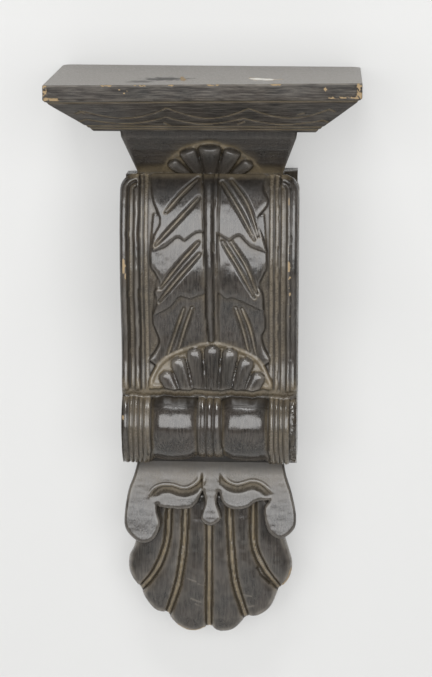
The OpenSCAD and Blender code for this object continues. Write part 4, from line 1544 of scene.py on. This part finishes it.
@dataclass(frozen=True)
class EbonisedWood:
    """Stained and lacquered carved wood: near black, with a soft gloss, old dust and wear, and painted shade and
    reflection.
    """

    name: str
    grain: Grain
    black: str = "#151311"
    brown: str = "#221d19"
    # The next colour is painted shade in hollows, undersides and under overhangs; on the shelf's top it gives real
    # stains.
    painted_shade_and_stain: str = "#0e0b08"
    dust: str = "#695d47"
    # The next colour is the grey of wear and of the grain's streaks, and a painted reflection on the shelf's top.
    wear_and_sheen_tint: str = "#66615a"
    bare: str = "#79684f"
    paint: str = "#aeaca6"
    gloss: float = 0.16
    dull: float = 0.6
    grain_mm: float = 1.6
    streaks: float = 0.22
    relief: float = 0.2
    shine: float = 0.5
    patch_mm: float = 26.0

    def material(self) -> bpy.types.Material:
        """Build the finish.

        Returns:
            The material.
        """
        made = bpy.data.materials.new(self.name)
        made.use_nodes = True
        made.node_tree.nodes.clear()

        def add(kind: str, settings: dict[str, object] | None = None, **links: object) -> bpy.types.Node:
            """Add a node with its settings and links, and give it back."""
            node = made.node_tree.nodes.new(kind)
            for key, value in (settings or {}).items():
                setattr(node, key, value)
            for key, value in links.items():
                socket = node.inputs[int(key[1:])] if key[0] == "i" and key[1:].isdigit() else \
                    node.inputs[key.replace("_", " ")]
                if isinstance(value, bpy.types.NodeSocket):
                    made.node_tree.links.new(value, socket)
                else:
                    socket.default_value = value
            return node

        place = add("ShaderNodeTexCoord").outputs["Object"]
        stretched = add("ShaderNodeMapping", Vector=place, Scale=self.grain.value).outputs[0]
        per_metre = 1.0 / MM
        fibre = add("ShaderNodeTexNoise", Vector=stretched, Scale=per_metre / (self.grain_mm * 14),
                    Detail=5.0, Roughness=0.65).outputs["Fac"]
        patch = add("ShaderNodeTexNoise", Vector=place, Scale=per_metre / self.patch_mm, Detail=4.0).outputs["Fac"]
        speck = add("ShaderNodeTexNoise", Vector=place, Scale=per_metre / 2.2, Detail=3.0).outputs["Fac"]
        marks = {mark: add("ShaderNodeAttribute", {"attribute_name": mark}).outputs["Fac"] for mark in MARKS}

        tone = add("ShaderNodeMapRange", i0=patch, i1=0.35, i2=0.65).outputs[0]
        colour = add("ShaderNodeMix", {"data_type": "RGBA"}, Factor=tone, i6=linear(self.black),
                     i7=linear(self.brown)).outputs[2]
        streak = add("ShaderNodeMapRange", i0=fibre, i1=0.42, i2=0.7, i3=0.0, i4=self.streaks).outputs[0]
        colour = add("ShaderNodeMix", {"data_type": "RGBA"}, Factor=streak, i6=colour,
                     i7=linear(self.wear_and_sheen_tint)).outputs[2]
        # Wear on high places lightens the colour; on the shelf's top this is a painted reflection.
        wear_and_sheen_tint = add("ShaderNodeMath", {"operation": "MULTIPLY"}, i0=marks["wear_and_sheen"], i1=0.65).outputs[0]
        colour = add("ShaderNodeMix", {"data_type": "RGBA"}, Factor=wear_and_sheen_tint, i6=colour,
                     i7=linear(self.wear_and_sheen_tint)).outputs[2]
        uneven = add("ShaderNodeMapRange", i0=speck, i1=0.3, i2=0.7, i3=0.7, i4=1.1).outputs[0]
        settled = add("ShaderNodeMath", {"operation": "MULTIPLY", "use_clamp": True}, i0=marks["dust"],
                      i1=uneven).outputs[0]
        colour = add("ShaderNodeMix", {"data_type": "RGBA"}, Factor=settled, i6=colour,
                     i7=linear(self.dust)).outputs[2]
        # Painted shade darkens hollows, undersides and the places under overhangs; on the shelf it lays real stains.
        sunk = add("ShaderNodeMath", {"operation": "MULTIPLY"}, i0=marks["deep"], i1=0.85).outputs[0]
        colour = add("ShaderNodeMix", {"data_type": "RGBA"}, Factor=sunk, i6=colour,
                     i7=linear(self.painted_shade_and_stain)).outputs[2]
        open_wood = add("ShaderNodeMapRange", i0=marks["bare"], i1=0.3, i2=0.5).outputs[0]
        painted = add("ShaderNodeMapRange", i0=marks["bare"], i1=0.75, i2=0.85).outputs[0]
        pale = add("ShaderNodeMix", {"data_type": "RGBA"}, Factor=painted, i6=linear(self.bare),
                   i7=linear(self.paint)).outputs[2]
        colour = add("ShaderNodeMix", {"data_type": "RGBA"}, Factor=open_wood, i6=colour, i7=pale).outputs[2]

        rough = add("ShaderNodeMapRange", i0=settled, i3=self.gloss, i4=self.dull).outputs[0]
        varied = add("ShaderNodeMapRange", i0=speck, i1=0.3, i2=0.7, i3=-0.04, i4=0.06).outputs[0]
        rough = add("ShaderNodeMath", {"operation": "ADD"}, i0=rough, i1=varied).outputs[0]
        # Where shade is painted, the lacquer is also made duller and less shiny.
        rough = add("ShaderNodeMix", {"data_type": "FLOAT"}, Factor=sunk, i2=rough, i3=0.5).outputs[0]
        level = add("ShaderNodeMix", {"data_type": "FLOAT"}, Factor=sunk, i2=self.shine,
                    i3=0.2 * self.shine).outputs[0]
        rough = add("ShaderNodeMix", {"data_type": "FLOAT"}, Factor=open_wood, i2=rough, i3=0.8).outputs[0]

        height = add("ShaderNodeMath", {"operation": "MULTIPLY"}, i0=fibre, i1=0.7).outputs[0]
        height = add("ShaderNodeMath", {"operation": "ADD"}, i0=height, i1=speck).outputs[0]
        bump = add("ShaderNodeBump", Strength=self.relief, Distance=0.35 * MM, Height=height).outputs[0]
        skin = add("ShaderNodeBsdfPrincipled", Base_Color=colour, Roughness=rough, Normal=bump,
                   Specular_IOR_Level=level)
        out = add("ShaderNodeOutputMaterial", Surface=skin.outputs[0])
        out.is_active_output = True
        return made


@dataclass(frozen=True)
class Matt:
    """Plain matt paint for the floor and the wall behind the object."""

    name: str
    colour: str
    glow: float = 0.0

    def material(self, see_through_back: bool = False) -> bpy.types.Material:
        """Build the finish.

        Args:
            see_through_back: Whether the back of a sheet lets the view through.

        Returns:
            The material.
        """
        made = bpy.data.materials.new(self.name)
        made.use_nodes = True
        net = made.node_tree
        skin = net.nodes["Principled BSDF"]
        skin.inputs["Base Color"].default_value = linear(self.colour)
        skin.inputs["Roughness"].default_value = 0.9
        skin.inputs["Specular IOR Level"].default_value = 0.1
        if self.glow > 0:
            shine = net.nodes.new("ShaderNodeEmission")
            shine.inputs["Color"].default_value = linear(self.colour)
            seen = net.nodes.new("ShaderNodeLightPath")
            share = net.nodes.new("ShaderNodeMath")
            share.operation = "MULTIPLY"
            share.inputs[1].default_value = self.glow
            net.links.new(seen.outputs["Is Camera Ray"], share.inputs[0])
            blend = net.nodes.new("ShaderNodeMixShader")
            net.links.new(share.outputs[0], blend.inputs[0])
            net.links.new(skin.outputs[0], blend.inputs[1])
            net.links.new(shine.outputs[0], blend.inputs[2])
            net.links.new(blend.outputs[0], net.nodes["Material Output"].inputs["Surface"])
            skin = blend
        if see_through_back:
            clear = net.nodes.new("ShaderNodeBsdfTransparent")
            facing = net.nodes.new("ShaderNodeNewGeometry")
            mix = net.nodes.new("ShaderNodeMixShader")
            net.links.new(facing.outputs["Backfacing"], mix.inputs[0])
            net.links.new(skin.outputs[0], mix.inputs[1])
            net.links.new(clear.outputs[0], mix.inputs[2])
            net.links.new(mix.outputs[0], net.nodes["Material Output"].inputs["Surface"])
        return made


# ---------------------------------------------------------------- the studio


@dataclass
class Studio:
    """The wall, the floor, the lights and the camera."""

    lens: float = 118.7
    eye: tuple[float, float, float] = (0.130, -2.480, 0.525)
    aim: tuple[float, float, float] = (0.002, 0.0, -0.032)
    wall_gap: float = 0.012
    floor_z: float = -1.25

    def plane(self, name: str, corners: Sequence[tuple[float, float, float]],
              material: bpy.types.Material) -> bpy.types.Object:
        """Make one flat stage surface.

        Args:
            name: Its name.
            corners: Its four corners.
            material: Its paint.

        Returns:
            The surface.
        """
        mesh = bpy.data.meshes.new(name)
        mesh.from_pydata(corners, [], [(0, 1, 2, 3)])
        mesh.materials.append(material)
        made = bpy.data.objects.new(name, mesh)
        bpy.context.scene.collection.objects.link(made)
        return made

    def light(self, name: str, place: Sequence[float], aim: Sequence[float], size: tuple[float, float],
              power: float) -> None:
        """Add one soft light.

        Args:
            name: Its name.
            place: Where it hangs.
            aim: What it points at.
            size: Its width and height.
            power: Its power in watts.
        """
        lamp = bpy.data.lights.new(name, "AREA")
        lamp.shape, lamp.size, lamp.size_y, lamp.energy = "RECTANGLE", size[0], size[1], power
        made = bpy.data.objects.new(name, lamp)
        bpy.context.scene.collection.objects.link(made)
        made.location = place
        made.rotation_euler = (Vector(aim) - Vector(place)).to_track_quat("-Z", "Y").to_euler()

    def build(self) -> None:
        """Set up everything round the object."""
        g, f, w = self.wall_gap, self.floor_z, 3.0
        self.plane("backdrop", ((-w, g, f), (w, g, f), (w, g, 2.6), (-w, g, 2.6)),
                   Matt("backdrop_paint", "#cacac9", glow=0.6).material(see_through_back=True))
        self.plane("floor", ((-w, -w, f), (w, -w, f), (w, w, f), (-w, w, f)),
                   Matt("floor_paint", "#d6d6d5").material())
        self.light("key", (-0.1, -1.42, 2.15), (0, -0.08, -0.05), (0.9, 0.4), 36.0)
        self.light("front", (0.1, -3.3, 0.68), (0.1, 0, 0.68), (4.6, 2.24), 212.0)
        world = bpy.data.worlds.new("studio")
        bpy.context.scene.world = world
        world.use_nodes = True
        sky = world.node_tree.nodes["Background"]
        sky.inputs["Color"].default_value = linear("#f2f3f5")
        sky.inputs["Strength"].default_value = 0.28
        camera = bpy.data.objects.new("camera", bpy.data.cameras.new("camera"))
        bpy.context.scene.collection.objects.link(camera)
        camera.data.lens = self.lens
        camera.location = self.eye
        camera.rotation_euler = (Vector(self.aim) - Vector(self.eye)).to_track_quat("-Z", "Y").to_euler()
        bpy.context.scene.camera = camera
        bpy.context.scene.view_settings.view_transform = "Standard"


# ---------------------------------------------------------------- putting it together


def dress(piece: bpy.types.Object, finish: EbonisedWood, node: str) -> None:
    """Give a piece its finish, hang it from the root body, and hide the CAD node it stands for.

    Args:
        piece: The piece.
        finish: Its finish.
        node: The CAD node.
    """
    piece.data.materials.clear()
    piece.data.materials.append(finish.material())
    piece.data.polygons.foreach_set("material_index", [0] * len(piece.data.polygons))
    piece.data.shade_smooth()
    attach(piece, "root")
    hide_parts(node)
    log.info("%s: %d faces", piece.name, len(piece.data.polygons))


def main() -> None:
    """Build the bracket and its studio."""
    logging.basicConfig(level=logging.INFO, format="%(name)s: %(message)s")
    Studio().build()
    shelf = Shelf(*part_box("shelf")).build()
    dull_board = EbonisedWood("ebonised_shelf_lacquered_planed_wood", Grain.ACROSS, gloss=0.4, streaks=0.4,
                              relief=0.5, shine=0.2)
    dress(shelf, dull_board, "shelf")
    block = CarvedBlock(*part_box("carved_corbel")).build()
    dress(block, EbonisedWood("ebonised_carving_lacquered_carved_wood", Grain.UPRIGHT), "carved_corbel")


if __name__ == "__main__":
    main()
